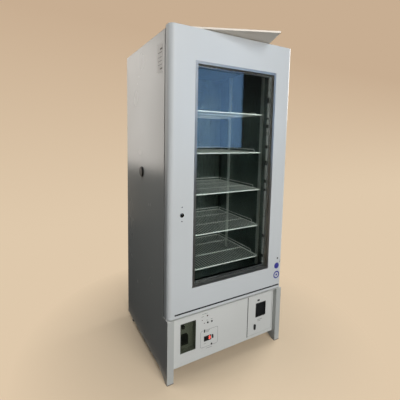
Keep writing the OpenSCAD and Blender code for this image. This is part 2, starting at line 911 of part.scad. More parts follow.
module hinge_brackets() {
    color("silver") {
        difference() {
            union() {
                span([hinge_x - bracket_w + 14, hinge_y - bracket_nose, arm_z],
                    [hinge_x + 14, flange_y + bracket_t + 4, arm_z + bracket_t]);
                span([hinge_x - bracket_w + 14, flange_y + 4, cabinet_h],
                    [hinge_x + 14, flange_y + bracket_t + 4, arm_z + bracket_t]);
                span([hinge_x - bracket_w + 14, flange_y + 4, cabinet_h],
                    [hinge_x + 14, flange_y + bracket_foot, cabinet_h + bracket_t]);
            }
            translate([hinge_x, hinge_y, arm_z - 1])
                cylinder(h = bracket_t + 2, r = hinge_pin_r + run_gap);
            for (dy = bracket_screws)
                translate([hinge_x - 3, flange_y + dy, cabinet_h - 1])
                    cylinder(h = bracket_t + 2, r = bracket_screw_r + 0.1);
        }
        difference() {
            span([column_in_x, hinge_y - bracket_nose, base_h], [hinge_x + 12, flange_y - 3, base_h + bracket_t]);
            translate([hinge_x, hinge_y, base_h - 1])
                cylinder(h = bracket_t + 2, r = hinge_pin_r + run_gap);
        }
    }
}

module hinge_pins() {
    color("silver") {
        translate([hinge_x, hinge_y, door_top - bush_l + 2])
            cylinder(h = arm_z + bracket_t - door_top + bush_l - 2, r = hinge_pin_r);
        translate([hinge_x, hinge_y, arm_z + bracket_t])
            cylinder(h = 2, r = hinge_pin_r + 2.5);
        translate([hinge_x, hinge_y, base_h])
            cylinder(h = door_z - base_h + bush_l - 2, r = hinge_pin_r);
        translate([hinge_x, hinge_y, base_h + bracket_t])
            cylinder(h = 1.5, r = hinge_pin_r + 2.5);
    }
}

// ---- Door lock ----

rivet_r = 2.5;
rivet_up = 37;
rivet_down = 27;

module lock_housing() {
    color("silver") {
        difference() {
            union() {
                rod_y(lock_x, front_y - 2, front_y, lock_z, lock_ring_r);
                rod_y(lock_x, front_y - 1, door_back_y, lock_z, barrel_r + 1.5 - run_gap);
            }
            rod_y(lock_x, front_y - 3, door_back_y + 1, lock_z, barrel_r + run_gap);
        }
        for (z = [lock_z + rivet_up, lock_z - rivet_down])
            rod_y(lock_x, front_y - 0.8, front_y, z, rivet_r);
    }
}

module lock_barrel() {
    color("silver")
        difference() {
            union() {
                rod_y(lock_x, front_y - 2.5, cam_y + cam_t, lock_z, barrel_r);
                span([lock_x - 5, cam_y, lock_z - 6], [lock_x + 5, cam_y + cam_t, lock_z + cam_l]);
            }
            span([lock_x - 0.8, front_y - 3, lock_z - 4], [lock_x + 0.8, front_y + 6, lock_z + 4]);
        }
}

strike_x = lock_x - cam_l - 2;
strike_lip = 10;

// Catch on the cabinet: the cam turns in behind its lip
module lock_strike() {
    color("silver") {
        span([strike_x - 18, flange_y - 1.5, lock_z - 17], [strike_x, flange_y, lock_z + 17]);
        span([strike_x - 4, door_back_y + 0.6, lock_z - 12], [strike_x, flange_y - 0.5, lock_z + 12]);
        span([strike_x - 4, door_back_y + 0.6, lock_z - 12], [strike_x + strike_lip, door_back_y + 1.8, lock_z + 12]);
    }
}

// ---- Shelves ----

slot_h = 3;
slot_w = 9;
standard_n = floor((chamber_h - first_slot - 12) / slot_pitch);

function slot_level(i) = chamber_z + first_slot + i * slot_pitch;
function shelf_level(i) = slot_level(shelf_slots[i]) + clip_t / 2 + seat_gap + border_r;

// One slotted channel against the right wall, with its middle at y
module standard(y) {
    slab_x(standard_x, sheet)
        difference() {
            translate([y - standard_w / 2, chamber_z])
                square([standard_w, chamber_h]);
            for (i = [0 : standard_n])
                translate([y - slot_w / 2, slot_level(i) - slot_h / 2])
                    square([slot_w, slot_h]);
        }
    for (dy = [-standard_w / 2, standard_w / 2 - sheet])
        span([standard_x, y + dy, chamber_z], [half_chamber, y + dy + sheet, ceiling_z]);
}

function standard_ys() = [flange_y + standard_front, flange_y + standard_front + standard_span];

module shelf_standards() {
    color("silver")
        for (side = [0, 1], y = standard_ys())
            mirror([side, 0, 0])
                standard(y);
}

clip_w = 8;

// Clips hooked into the standards, under each shelf's border wire
module shelf_clips() {
    color("silver")
        for (side = [0, 1], y = standard_ys(), i = [0 : len(shelf_slots) - 1])
            mirror([side, 0, 0])
                translate([0, y, slot_level(shelf_slots[i])]) {
                    span([shelf_x - 2 * border_r, -clip_w / 2, -clip_t / 2], [standard_x + 5, clip_w / 2, clip_t / 2]);
                    span([standard_x - 1.5, -clip_w / 2, -9], [standard_x, clip_w / 2, clip_t / 2]);
                }
}

cross_r = 2;
cross_n = 2;
cross_front = 150;
rail_r = 2;
riser_r = 1.8;
border_bend = 10;
rail_bend = 6;

// Quarter bend of a wire from +X round to +Y
module wire_bend(bend, r) {
    rotate_extrude(angle = 90)
        translate([bend, 0])
            circle(r = r);
}

// Wire along the back and both sides of a shelf at height z, open to the front at y0
module wire_u(x, y0, y1, z, r) {
    rod_x(-x + border_bend, x - border_bend, y1, z, r);
    for (side = [0, 1])
        mirror([side, 0, 0]) {
            rod_y(x, y0, y1 - border_bend, z, r);
            translate([x - border_bend, y1 - border_bend, z])
                wire_bend(border_bend, r);
        }
}

// Shelf of fine wires on cross bars in a border wire, with raised rails at the sides and back
module wire_shelf(i) {
    z = shelf_level(i);
    x = shelf_x - border_r;
    y0 = shelf_front_y + border_r;
    y1 = shelf_back_y - border_r;
    rail_z = z + rail_h;
    rail_y = shelf_front_y + rail_setback;
    color("silver") {
        wire_u(x, y0 + border_bend, y1, z, border_r);
        rod_x(-x + border_bend, x - border_bend, y0, z, border_r);
        for (side = [0, 1])
            mirror([side, 0, 0]) {
                translate([x - border_bend, y0 + border_bend, z])
                    mirror([0, 1, 0])
                        wire_bend(border_bend, border_r);
                translate([x, rail_y + rail_bend, rail_z - rail_bend])
                    rotate([90, 0, -90])
                        wire_bend(rail_bend, rail_r);
                for (y = [rail_y, y1 - border_bend - rail_bend])
                    translate([x, y, z])
                        cylinder(h = rail_h - (y == rail_y ? rail_bend : 0), r = (y == rail_y ? rail_r : riser_r));
            }
        wire_u(x, rail_y + rail_bend, y1, rail_z, rail_r);
        for (k = [1 : cross_n])
            rod_x(-x, x, y0 + k * cross_front, z - 0.5, cross_r);
        for (k = [1 : wire_n])
            rod_y(-x + (k - 0.5) * wire_pitch + wire_spare / 2, y0, y1, z + 1.5, wire_r, $fn = 8);
    }
}

// Number of fine wires, and the width they leave over between the two sides
wire_n = floor(2 * (shelf_x - border_r) / wire_pitch);
wire_spare = 2 * (shelf_x - border_r) - wire_n * wire_pitch;

module shelf_1() { wire_shelf(0); }
module shelf_2() { wire_shelf(1); }
module shelf_3() { wire_shelf(2); }
module shelf_4() { wire_shelf(3); }
module shelf_5() { wire_shelf(4); }

// ---- Air circulation ----

duct_x = half_chamber - duct_side_gap;
duct_foot = 12;
guard_bar = 4;

module duct_panel() {
    color("gainsboro") {
        slab_y(duct_y, sheet)
            difference() {
                translate([-duct_x, chamber_z + duct_foot])
                    square([2 * duct_x, chamber_h - 2 * duct_foot]);
                translate([0, fan_z])
                    difference() {
                        circle(r = fan_r - 4);
                        for (r = [20, 34, 48])
                            difference() {
                                circle(r = r);
                                circle(r = r - guard_bar);
                            }
                        for (a = [0, 60, 120])
                            rotate(a)
                                square([2 * fan_r, guard_bar], center = true);
                    }
                for (i = [0 : 5], side = [-1, 1])
                    translate([side * 110 - 90, chamber_z + 50 + i * 16])
                        square([180, 7]);
            }
        for (side = [-1, 1])
            span([side * (duct_x - sheet / 2) - sheet / 2, duct_y, chamber_z + duct_foot],
                [side * (duct_x - sheet / 2) + sheet / 2, rear_wall_y, ceiling_z - duct_foot]);
    }
}

motor_shaft_r = 3;
blade_t = 2;

// Hub with tilted blades, turning about Y
module fan_rotor(x, y, z, r, hub_r, depth, blades, shaft_r) {
    difference() {
        union() {
            rod_y(x, y - depth / 2, y + depth / 2, z, hub_r);
            for (i = [0 : blades - 1])
                translate([x, y, z])
                    rotate([0, i * 360 / blades, 0])
                        rotate([28, 0, 0])
                            translate([hub_r - 2, -blade_t / 2, -r * 0.22])
                                cube([r * 0.96 - hub_r, blade_t, r * 0.44]);
        }
        rod_y(x, y - depth / 2 - 1, y + depth / 2 + 1, z, shaft_r + run_gap);
    }
}

module circulation_fan() {
    color("dimgray")
        fan_rotor(0, fan_y, fan_z, fan_r - 6, 18, 16, 5, motor_shaft_r);
}

module fan_motor() {
    color("gray") {
        rod_y(0, fan_y + 9, rear_wall_y, fan_z, 28);
        rod_y(0, fan_y - 9, fan_y + 10, fan_z, motor_shaft_r);
    }
}

// Fin pack with tubes along X and U-bends that join each pair of tubes at both ends
module fin_coil(x0, x1, y0, y1, z0, z1, fins, rows, tube_r) {
    step = (x1 - x0) / (fins - 1);
    bend = (y1 - y0) * 0.2;
    for (i = [0 : fins - 1])
        span([x0 + i * step - fin_t / 2, y0, z0], [x0 + i * step + fin_t / 2, y1, z1]);
    for (k = [0 : rows - 1]) {
        z = z0 + (k + 0.5) * (z1 - z0) / rows;
        y = (y0 + y1) / 2;
        for (side = [-1, 1])
            rod_x(x0 - tube_end, x1 + tube_end, y + side * bend, z, tube_r);
        for (end = [[x0 - tube_end, 90], [x1 + tube_end, -90]])
            translate([end[0], y, z])
                rotate([0, 0, end[1]])
                    rotate_extrude(angle = 180)
                        translate([bend, 0])
                            circle(r = tube_r);
    }
}

fin_t = 1;
tube_end = 6;
coil_tube_r = 4.5;

module evaporator() {
    color("silver")
        fin_coil(-evaporator_w / 2, evaporator_w / 2, duct_y + sheet + 6, rear_wall_y, evaporator_z,
            evaporator_z + evaporator_h, 17, 4, coil_tube_r);
}

heater_r = 4;
heater_w = 360;
heater_pitch = 36;
heater_z = evaporator_z - 60;

module heater() {
    color("dimgray") {
        for (dz = [0, heater_pitch])
            rod_x(-heater_w / 2, heater_w / 2, rear_wall_y - heater_r, heater_z + dz, heater_r);
        translate([heater_w / 2, rear_wall_y - heater_r, heater_z])
            cylinder(h = heater_pitch, r = heater_r);
        for (dz = [0, heater_pitch])
            translate([heater_w / 2, rear_wall_y - heater_r, heater_z + dz])
                sphere(r = heater_r);
    }
}

// ---- Refrigeration ----

compressor_plate_w = 170;
compressor_plate_d = 150;
compressor_plate_t = 4;
rubber_mount_r = 12;
rubber_mount_h = 12;

// Welded shell on a base plate with four rubber mounts
module compressor() {
    color("black")
        translate([compressor_x, compressor_y, machine_z]) {
            for (side = [-1, 1], end = [-1, 1])
                translate([side * (compressor_plate_w / 2 - 15), end * (compressor_plate_d / 2 - 15), 0])
                    cylinder(h = rubber_mount_h, r = rubber_mount_r);
            translate([-compressor_plate_w / 2, -compressor_plate_d / 2, rubber_mount_h - 1])
                cube([compressor_plate_w, compressor_plate_d, compressor_plate_t]);
            translate([0, 0, rubber_mount_h + compressor_plate_t - 2])
                rotate_extrude()
                    polygon([[0, 0], [compressor_r * 0.8, 0], [compressor_r, 24], [compressor_r, compressor_h - 60],
                        [compressor_r * 0.86, compressor_h - 26], [compressor_r * 0.5, compressor_h - 6],
                        [0, compressor_h]]);
        }
}

module condenser() {
    color("silver")
        fin_coil(condenser_x, condenser_x + condenser_w, condenser_y, condenser_y + condenser_d, machine_z,
            machine_z + condenser_h, 16, 5, coil_tube_r);
}

shroud_y = condenser_y + condenser_d + 1;
condenser_fan_y = shroud_y + 28;
condenser_shaft_r = 4;
shroud_t = 2;
strap_w = 8;
strap_h = 24;
strap_t = 3;
strap_end_y = condenser_fan_y + 45;
cooling_motor_r = 32;
cooling_motor_l = 70;
cooling_motor_y = condenser_fan_y + 20;

// Plate with the fan's opening, and the fan motor on two straps behind it
module fan_shroud() {
    color("dimgray") {
        slab_y(shroud_y, shroud_t)
            difference() {
                translate([condenser_x, machine_z])
                    square([condenser_w, condenser_h]);
                translate([condenser_fan_x, condenser_fan_z])
                    circle(r = condenser_fan_r + 6);
            }
        for (side = [-1, 1]) {
            strap_x = condenser_fan_x + side * (condenser_fan_r + 14);
            span([strap_x - strap_w / 2, shroud_y + 1, condenser_fan_z - strap_h / 2],
                [strap_x + strap_w / 2, strap_end_y, condenser_fan_z + strap_h / 2]);
        }
        span([condenser_fan_x - condenser_fan_r - 18, strap_end_y - strap_t, condenser_fan_z - strap_h / 2],
            [condenser_fan_x + condenser_fan_r + 18, strap_end_y, condenser_fan_z + strap_h / 2]);
        rod_y(condenser_fan_x, cooling_motor_y, cooling_motor_y + cooling_motor_l, condenser_fan_z, cooling_motor_r);
        rod_y(condenser_fan_x, condenser_fan_y - 14, cooling_motor_y + 1, condenser_fan_z, condenser_shaft_r);
    }
}

module condenser_fan() {
    color("gray")
        fan_rotor(condenser_fan_x, condenser_fan_y, condenser_fan_z, condenser_fan_r, 24, 24, 5, condenser_shaft_r);
}

// ---- Access port, inlet and screws ----

module access_port() {
    color("dimgray")
        difference() {
            union() {
                rod_x(-side_x - port_flange_t, -side_x, port_y, port_z, port_r + port_wall + 3);
                rod_x(-side_x - 1, -half_chamber, port_y, port_z, port_r + port_wall);
            }
            rod_x(-side_x - port_flange_t - 1, -half_chamber + 1, port_y, port_z, port_r);
        }
}

cap_t = 5;
cap_plug = 34;

module port_cap() {
    color("black") {
        rod_x(-side_x - port_flange_t - cap_t, -side_x - port_flange_t - seat_gap, port_y, port_z, port_r + 3);
        rod_x(-side_x - port_flange_t - 1, -side_x - port_flange_t + cap_plug, port_y, port_z, port_r - seat_gap);
    }
}

// Appliance inlet: a flange on the back sheet with a hollow shroud and three flat pins
module power_inlet() {
    color("black") {
        difference() {
            union() {
                span([inlet_x - inlet_w / 2 - 8, back_y, inlet_z - inlet_h / 2 - 3],
                    [inlet_x + inlet_w / 2 + 8, back_y + 2, inlet_z + inlet_h / 2 + 3]);
                span([inlet_x - inlet_w / 2 + seat_gap, back_y - 22, inlet_z - inlet_h / 2 + seat_gap],
                    [inlet_x + inlet_w / 2 - seat_gap, back_y + 1, inlet_z + inlet_h / 2 - seat_gap]);
            }
            span([inlet_x - inlet_w / 2 + 3, back_y - 16, inlet_z - inlet_h / 2 + 3],
                [inlet_x + inlet_w / 2 - 3, back_y + 3, inlet_z + inlet_h / 2 - 3]);
        }
        for (p = [[-7, -3], [0, 3], [7, -3]])
            span([inlet_x + p[0] - 1, back_y - 17, inlet_z + p[1] - 2], [inlet_x + p[0] + 1, back_y - 4, inlet_z + p[1] + 2]);
    }
}

screw_r = 4;
screw_h = 2;
rear_screw_rows = 7;
rear_screw_edge = 14;

module cabinet_screws() {
    color("silver") {
        for (side = [-1, 1], k = [0 : rear_screw_rows - 1])
            rod_y(side * (inner_x - rear_screw_edge), back_y, back_y + screw_h,
                machine_z + 20 + k * (roof_z - machine_z - 40) / (rear_screw_rows - 1), screw_r);
        for (dy = bracket_screws)
            translate([hinge_x - 3, flange_y + dy, cabinet_h]) {
                cylinder(h = bracket_t, r = bracket_screw_r);
                translate([0, 0, bracket_t])
                    cylinder(h = screw_h, r = screw_r);
            }
    }
}

// ---- Loose cover panel ----

loose_t = 1.2;
loose_tilt = atan((door_rise - seat_gap) / (loose_w * cos(loose_turn) + loose_l * sin(loose_turn) - loose_overhang - door_t));

// Spare painted panel, face down, leaning from the door's top back onto the cabinet's top
module loose_cover_panel() {
    color("antiquewhite")
        translate([0, door_back_y, door_top + seat_gap])
            rotate([-loose_tilt, 0, 0])
                translate([loose_corner_x, -door_t - loose_overhang, 0])
                    rotate([0, 0, -loose_turn]) {
                        span([-loose_l, 0, 0], [0, loose_w, loose_t]);
                        span([-loose_l, 0, 0], [0, loose_t, loose_edge]);
                        span([-loose_l, loose_w - loose_t, 0], [0, loose_w, loose_edge]);
                        span([-loose_l, 0, 0], [-loose_l + loose_t, loose_w, loose_edge]);
                        span([-loose_t, 0, 0], [0, loose_w, loose_edge]);
                    }
}

side_panel_left();
side_panel_right();
top_panel();
rear_panel();
insulation_foam();
chamber_liner();
front_frame();
machine_deck();
floor_plate();
control_panel();
control_tray();
control_box();
smoked_cover();
thermostat_dial();
timer_unit();
display_module();
up_button();
down_button();
alarm_button();
light_switch();
indicator_lamps();
service_hatch();
hatch_window();
hatch_latch();
front_glides();
rear_feet();
door_skin();
door_foam();
door_inner_panel();
window_trim();
outer_pane();
inner_pane();
door_gasket();
door_bushes();
hinge_brackets();
hinge_pins();
lock_housing();
lock_barrel();
lock_strike();
shelf_standards();
shelf_clips();
shelf_1();
shelf_2();
shelf_3();
shelf_4();
shelf_5();
duct_panel();
circulation_fan();
fan_motor();
evaporator();
heater();
compressor();
condenser();
condenser_fan();
fan_shroud();
access_port();
port_cap();
power_inlet();
cabinet_screws();
loose_cover_panel();
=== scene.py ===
# %% [markdown]
# # An upright laboratory incubator
# The object is a tall refrigerated incubator: a painted steel cabinet on short legs, a thick door with a
# framed window, wire shelves inside and a row of controls in the base. The hard parts come from a CAD
# model, in metres, with +X to the right, +Y to the back and +Z up. Blender adds what CAD leaves plain:
# finishes, rounded wires, screws, grip ribs, stickers and light.

# %% Load the CAD frame
import math

import bmesh
import bpy
from mathutils import Matrix, Vector


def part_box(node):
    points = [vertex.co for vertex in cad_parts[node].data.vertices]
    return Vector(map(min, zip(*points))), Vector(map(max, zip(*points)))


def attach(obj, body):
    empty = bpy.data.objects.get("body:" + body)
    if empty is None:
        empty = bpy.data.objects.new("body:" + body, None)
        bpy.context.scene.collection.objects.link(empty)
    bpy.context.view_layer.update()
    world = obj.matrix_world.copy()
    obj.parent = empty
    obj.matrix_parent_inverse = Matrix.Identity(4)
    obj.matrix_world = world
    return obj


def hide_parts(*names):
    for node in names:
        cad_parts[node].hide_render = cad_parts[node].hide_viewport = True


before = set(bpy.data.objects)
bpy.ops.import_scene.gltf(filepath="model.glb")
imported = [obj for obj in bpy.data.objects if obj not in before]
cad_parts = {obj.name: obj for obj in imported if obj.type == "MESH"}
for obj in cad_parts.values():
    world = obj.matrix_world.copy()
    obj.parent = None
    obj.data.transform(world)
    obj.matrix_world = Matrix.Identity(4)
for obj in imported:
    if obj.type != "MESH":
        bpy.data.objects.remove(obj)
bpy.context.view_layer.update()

# %% [markdown]
# The boxes of the CAD nodes give the places of the pieces below, so that they fit each other. MM is one
# millimetre, because the sizes of real sheet, wire and screws are known in millimetres.

# %% Measure the nodes
MM = 0.001


def mm(*sizes):
    return Vector(sizes) * MM


def low_high(node):
    low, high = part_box(node)
    return Vector(low), Vector(high)


def middle(node):
    low, high = low_high(node)
    return (low + high) / 2


door_low, door_high = low_high("door_skin")
hatch_low, hatch_high = low_high("service_hatch")
panel_front = low_high("control_panel")[0].y
print("door front at", round(door_low.y, 4), "panel front at", round(panel_front, 4))

# %% [markdown]
# ## The camera
# The cabinet is seen from the front left at chest height with a wide lens, so the sides converge. The
# camera's place and lens are found by matching the cabinet's corners. A small roll and a small shift keep
# it framed.

# %% Make the camera
def put_in_scene(name, data):
    made = bpy.data.objects.new(name, data)
    bpy.context.scene.collection.objects.link(made)
    return made


camera_data = bpy.data.cameras.new("studio_camera")
camera = put_in_scene("studio_camera", camera_data)
bpy.context.scene.camera = camera
eye = Vector((-0.8588, -1.4570, 1.1482))
heading, pitch, roll = 0.5102, 0.1001, 0.0175
ahead = Vector((math.sin(heading), math.cos(heading), 0))
level = Vector((math.cos(heading), -math.sin(heading), 0))
forward = ahead * math.cos(pitch) - Vector((0, 0, math.sin(pitch)))
upward = level.cross(forward)
right = level * math.cos(roll) + upward * math.sin(roll)
top = upward * math.cos(roll) - level * math.sin(roll)
turn = Matrix((right, top, -forward)).transposed().to_4x4()
camera.matrix_world = Matrix.Translation(eye) @ turn
camera_data.sensor_width = 36
camera_data.lens = 26.41
camera_data.shift_x, camera_data.shift_y = 0.0102, -0.0820
camera_data.clip_start, camera_data.clip_end = 0.05, 60
print("camera lens", camera_data.lens, "mm")

# %% [markdown]
# ## Tools for materials
# A colour is written as the hex value a painter would pick on a screen, and one function turns it into
# the linear light that a shader needs. Three more add nodes with their settings and links, so each
# material below reads as a list of layers. Patterns use Object coordinates: every piece sits at the
# origin with its place in its mesh, so one metre of pattern is one metre of object.

# %% Colour and node helpers
def linear(hex_value, alpha=1.0):
    channels = [int(hex_value[i:i + 2], 16) / 255 for i in (1, 3, 5)]
    return tuple(c / 12.92 if c <= 0.04045 else ((c + 0.055) / 1.055) ** 2.4 for c in channels) + (alpha,)


def add(tree, kind, inputs=None, **settings):
    node = tree.nodes.new(kind)
    for name, value in settings.items():
        setattr(node, name, value)
    for name, value in (inputs or {}).items():
        if isinstance(value, bpy.types.NodeSocket):
            tree.links.new(value, node.inputs[name])
        else:
            node.inputs[name].default_value = value
    return node


def out(tree, kind, inputs=None, **settings):
    """Adds a node and gives its first output."""
    return add(tree, kind, inputs, **settings).outputs[0]


def maths(tree, how, first, second=0.0):
    return out(tree, "ShaderNodeMath", {0: first, 1: second}, operation=how)

# %% [markdown]
# Every material starts as one Principled shader on Object coordinates. Patterns are linked to its
# sockets, and clear sheet mixes it with a second shader.

# %% Material helpers
def new_material(name, **shader_inputs):
    made = bpy.data.materials.new(name)
    made.use_nodes = True
    tree = made.node_tree
    tree.nodes.clear()
    shader = add(tree, "ShaderNodeBsdfPrincipled")
    for key, value in shader_inputs.items():
        shader.inputs[key.replace("_", " ")].default_value = value
    add(tree, "ShaderNodeOutputMaterial", {"Surface": shader.outputs[0]})
    place = add(tree, "ShaderNodeTexCoord").outputs["Object"]
    return made, tree, shader, place


def feed(tree, shader, **sockets):
    """Links each named output to the shader's socket of that name."""
    for key, value in sockets.items():
        tree.links.new(value, shader.inputs[key.replace("_", " ")])


def mix_surface(tree, share, first, second):
    """Shows a mix of two shaders as the material's surface."""
    mixed = out(tree, "ShaderNodeMixShader", {0: share, 1: first, 2: second})
    ending = next(node for node in tree.nodes if node.type == "OUTPUT_MATERIAL")
    tree.links.new(mixed, ending.inputs["Surface"])

# %% [markdown]
# A pattern is a noise of a real size in millimetres. It drives the colour, the roughness or a shallow
# bump, and a Bevel node rounds the edges under the bump.

# %% Pattern helpers
def noise(tree, place, size_mm, detail=2.0, stretch=(1, 1, 1)):
    scaled = out(tree, "ShaderNodeMapping", {"Vector": place, "Scale": stretch})
    size = 1 / (size_mm * MM)
    return add(tree, "ShaderNodeTexNoise", {"Vector": scaled, "Scale": size, "Detail": detail}).outputs["Fac"]


def blend_colour(tree, factor, first, second):
    return add(tree, "ShaderNodeMix", {0: factor, 6: first, 7: second}, data_type="RGBA").outputs[2]


def scale_range(tree, value, low, high, to_low, to_high):
    return out(tree, "ShaderNodeMapRange", {"Value": value, "From Min": low, "From Max": high,
                                            "To Min": to_low, "To Max": to_high})


def edge_round(tree, radius_mm):
    return out(tree, "ShaderNodeBevel", {"Radius": radius_mm * MM}, samples=4)


def bump(tree, height, depth_mm, edge_mm=0.0):
    """Turns a height pattern into a normal, over edges rounded by edge_mm."""
    given = {"Height": height, "Distance": depth_mm * MM, "Strength": 1.0}
    if edge_mm:
        given["Normal"] = edge_round(tree, edge_mm)
    return out(tree, "ShaderNodeBump", given)


print("sheet grey in linear light", [round(v, 3) for v in linear("#c9cccb")])

# %% [markdown]
# ## Powder-coated steel
# The cabinet and door are folded steel sheet with a light grey powder coat. Powder melts into a skin with
# a faint orange peel about 3 mm across, and its sheen is soft. Near the floor the coat turns darker grey in
# specks, partly dirt and partly painted shade. A Bevel node rounds the folded edges in the light without
# changing the sheet.

# %% Powder coat
# The second colour serves both a random tone and the darkening near the floor, which is partly dirt and
# partly painted shade.
def powder_coat(name, colour, dirt_and_shade, roughness, peel=0.012):
    made, tree, shader, place = new_material(name, IOR=1.5, Coat_Weight=0.0)
    cloud_mm, speck_mm, haze_mm, peel_mm = 420, 14, 160, 3.2
    tone = scale_range(tree, noise(tree, place, cloud_mm, 2), 0.3, 0.7, 0.0, 0.16)
    height = add(tree, "ShaderNodeSeparateXYZ", {"Vector": place}).outputs["Z"]
    # Near the floor the coat darkens in specks over the lowest 0.3 m: partly dirt, partly painted shade.
    low_dirt_and_shade = scale_range(tree, height, 0.0, 0.3, 0.3, 0.0)
    specks = scale_range(tree, noise(tree, place, speck_mm, 4), 0.55, 0.8, 0.0, 0.5)
    haze = noise(tree, place, haze_mm, 2)
    toned = blend_colour(tree, tone, linear(colour), linear(dirt_and_shade))
    feed(tree, shader,
         Base_Color=blend_colour(tree, maths(tree, "MULTIPLY", low_dirt_and_shade, specks), toned, linear(dirt_and_shade)),
         Roughness=scale_range(tree, haze, 0.3, 0.7, roughness - 0.01, roughness + 0.015),
         Normal=bump(tree, noise(tree, place, peel_mm, 1), peel, 0.9))
    return made


door_paint = powder_coat("powder_coat_light_grey", "#cdd1d2", "#b2b4b1", 0.40)
cabinet_paint = powder_coat("powder_coat_side_grey", "#bcbeba", "#adafaa", 0.26)
panel_paint = powder_coat("powder_coat_panel_grey", "#d8d9d5", "#b2b3ad", 0.42)
spare_paint = powder_coat("powder_coat_spare_beige", "#efe5d7", "#c9bfb1", 0.40)
print("powder coats made")

# %% [markdown]
# ## Sheet metals
# The liner is rolled stainless steel: its grain runs up the walls, so the light smears across it. The
# back is zinc-coated sheet with frozen crystals, called spangle, about 15 mm wide. Anodised aluminium has
# fine drawn lines and a satin skin. Zinc plating is bright with a little dull cloud.

# %% Metals
def brushed_metal(name, colour, dark, roughness, grain=(1, 1, 0.02), grain_mm=1.2, depth=0.004):
    made, tree, shader, place = new_material(name, Metallic=1.0)
    lines = noise(tree, place, grain_mm, 3, grain)
    clouds = scale_range(tree, noise(tree, place, 120, 2), 0.3, 0.7, 0.0, 0.5)
    feed(tree, shader, Base_Color=blend_colour(tree, clouds, linear(colour), linear(dark)),
         Roughness=scale_range(tree, lines, 0.25, 0.75, roughness - 0.07, roughness + 0.08),
         Normal=bump(tree, lines, depth, 0.5))
    return made


def spangled_zinc(name, light, dark, crystal_mm=15):
    made, tree, shader, place = new_material(name, Metallic=1.0)
    cells = add(tree, "ShaderNodeTexVoronoi", {"Vector": place, "Scale": 1 / (crystal_mm * MM)})
    tone = out(tree, "ShaderNodeSeparateColor", {"Color": cells.outputs["Color"]})
    feed(tree, shader, Base_Color=blend_colour(tree, tone, linear(light), linear(dark)),
         Roughness=scale_range(tree, tone, 0, 1, 0.46, 0.52),
         Normal=bump(tree, noise(tree, place, 6, 2), 0.01, 0.5))
    return made


stainless_liner = brushed_metal("stainless_steel_brushed", "#7d8885", "#6b7573", 0.30)
standard_steel = brushed_metal("stainless_steel_pressed", "#dcdfdc", "#c3c6c3", 0.50)
aluminium_trim = brushed_metal("aluminium_satin_anodised", "#b6b4ae", "#a3a19b", 0.50, (1, 1, 0.05), 0.9)
zinc_plate = brushed_metal("steel_zinc_plated", "#b9bab5", "#9fa09a", 0.30, (1, 1, 1), 6)
fin_aluminium = brushed_metal("aluminium_fin_stock", "#b4b8b9", "#9fa3a3", 0.34, (1, 1, 0.1), 2)
motor_steel = brushed_metal("steel_pressed_motor_shell", "#8c8d8a", "#74756f", 0.38, (1, 1, 1), 4)
lock_chrome = brushed_metal("brass_chrome_plated", "#c8cacc", "#b2b4b6", 0.14, (1, 1, 1), 3, 0.001)
galvanised = spangled_zinc("steel_hot_dip_galvanised", "#b0b3b1", "#a1a4a2")
print("metals made")

# %% [markdown]
# ## Moulded plastics and rubber
# Knobs, buttons and the port are moulded ABS, whose mould leaves a fine spark-eroded grain about 0.8 mm
# across here, a little coarser than real so that it shows. The gasket is extruded soft vinyl, and the
# glides are rubber, which dusts up and turns grey.

# %% Plastics
def moulded(name, colour, worn, roughness, grain_mm=0.8, depth=0.02, **shader_inputs):
    made, tree, shader, place = new_material(name, IOR=1.53, **shader_inputs)
    cloud = scale_range(tree, noise(tree, place, 22, 3), 0.35, 0.7, 0.0, 0.55)
    smear = noise(tree, place, 6, 2)
    feed(tree, shader, Base_Color=blend_colour(tree, cloud, linear(colour), linear(worn)),
         Roughness=scale_range(tree, smear, 0.3, 0.7, roughness - 0.06, roughness + 0.08),
         Normal=bump(tree, noise(tree, place, grain_mm, 1), depth, 0.4))
    return made


black_abs = moulded("abs_black_moulded", "#1c1d1d", "#2a2b2a", 0.42)
tray_grey = moulded("abs_tray_grey_moulded", "#8b8d87", "#7d7f79", 0.50)
frame_abs = moulded("abs_off_white_frame", "#c3c5c0", "#b1b3ac", 0.45)
gasket_vinyl = moulded("vinyl_gasket_extruded", "#2b2d2c", "#3a3c3a", 0.55, 2.0)
foot_rubber = moulded("rubber_moulded_black", "#232322", "#3b3a37", 0.72, 1.2, 0.04)
bush_nylon = moulded("nylon_natural_moulded", "#dcdccf", "#cfcfc0", 0.40)
wire_epoxy = moulded("steel_wire_epoxy_dipped", "#d6d8d5", "#c6c9c5", 0.26, 1.5, 0.01)
compressor_enamel = moulded("steel_black_enamel", "#161717", "#242525", 0.34, 3.0, 0.03)
dark_steel = moulded("steel_blackened", "#2c2d2c", "#3a3a38", 0.40, 2.0, 0.02, Metallic=0.7)
fan_nylon = moulded("nylon_glass_filled_grey", "#3b3d3d", "#4a4c4b", 0.48)
foam_core = moulded("polyurethane_foam_cut", "#c9b98d", "#b3a272", 0.85, 1.5, 0.3)
print("plastics made")

# %% [markdown]
# ## Glass, smoked acrylic and lamps
# The window is two sealed panes of faintly green float glass. A coating against mirror images lowers what
# their four surfaces reflect, which is an IOR of 1.27 here where bare glass has 1.5. A ray that only
# carries shadow passes straight through, because a path tracer would otherwise leave the chamber black.
# The smoked cover is cast acrylic with a grey-green tint.

# %% Clear materials
def clear_sheet(name, tint, roughness, ior, shade):
    made, tree, shader, place = new_material(name, IOR=ior, Transmission_Weight=1.0)
    wipe = noise(tree, place, 180, 3, (1, 1, 0.35))
    tone = scale_range(tree, wipe, 0.3, 0.7, 0, 1)
    feed(tree, shader, Base_Color=blend_colour(tree, tone, linear(tint), linear(shade)),
         Roughness=scale_range(tree, wipe, 0.35, 0.75, roughness, roughness + 0.03))
    passing = out(tree, "ShaderNodeBsdfTransparent", {"Color": linear(tint)})
    shadow = add(tree, "ShaderNodeLightPath").outputs["Is Shadow Ray"]
    mix_surface(tree, shadow, shader.outputs[0], passing)
    return made


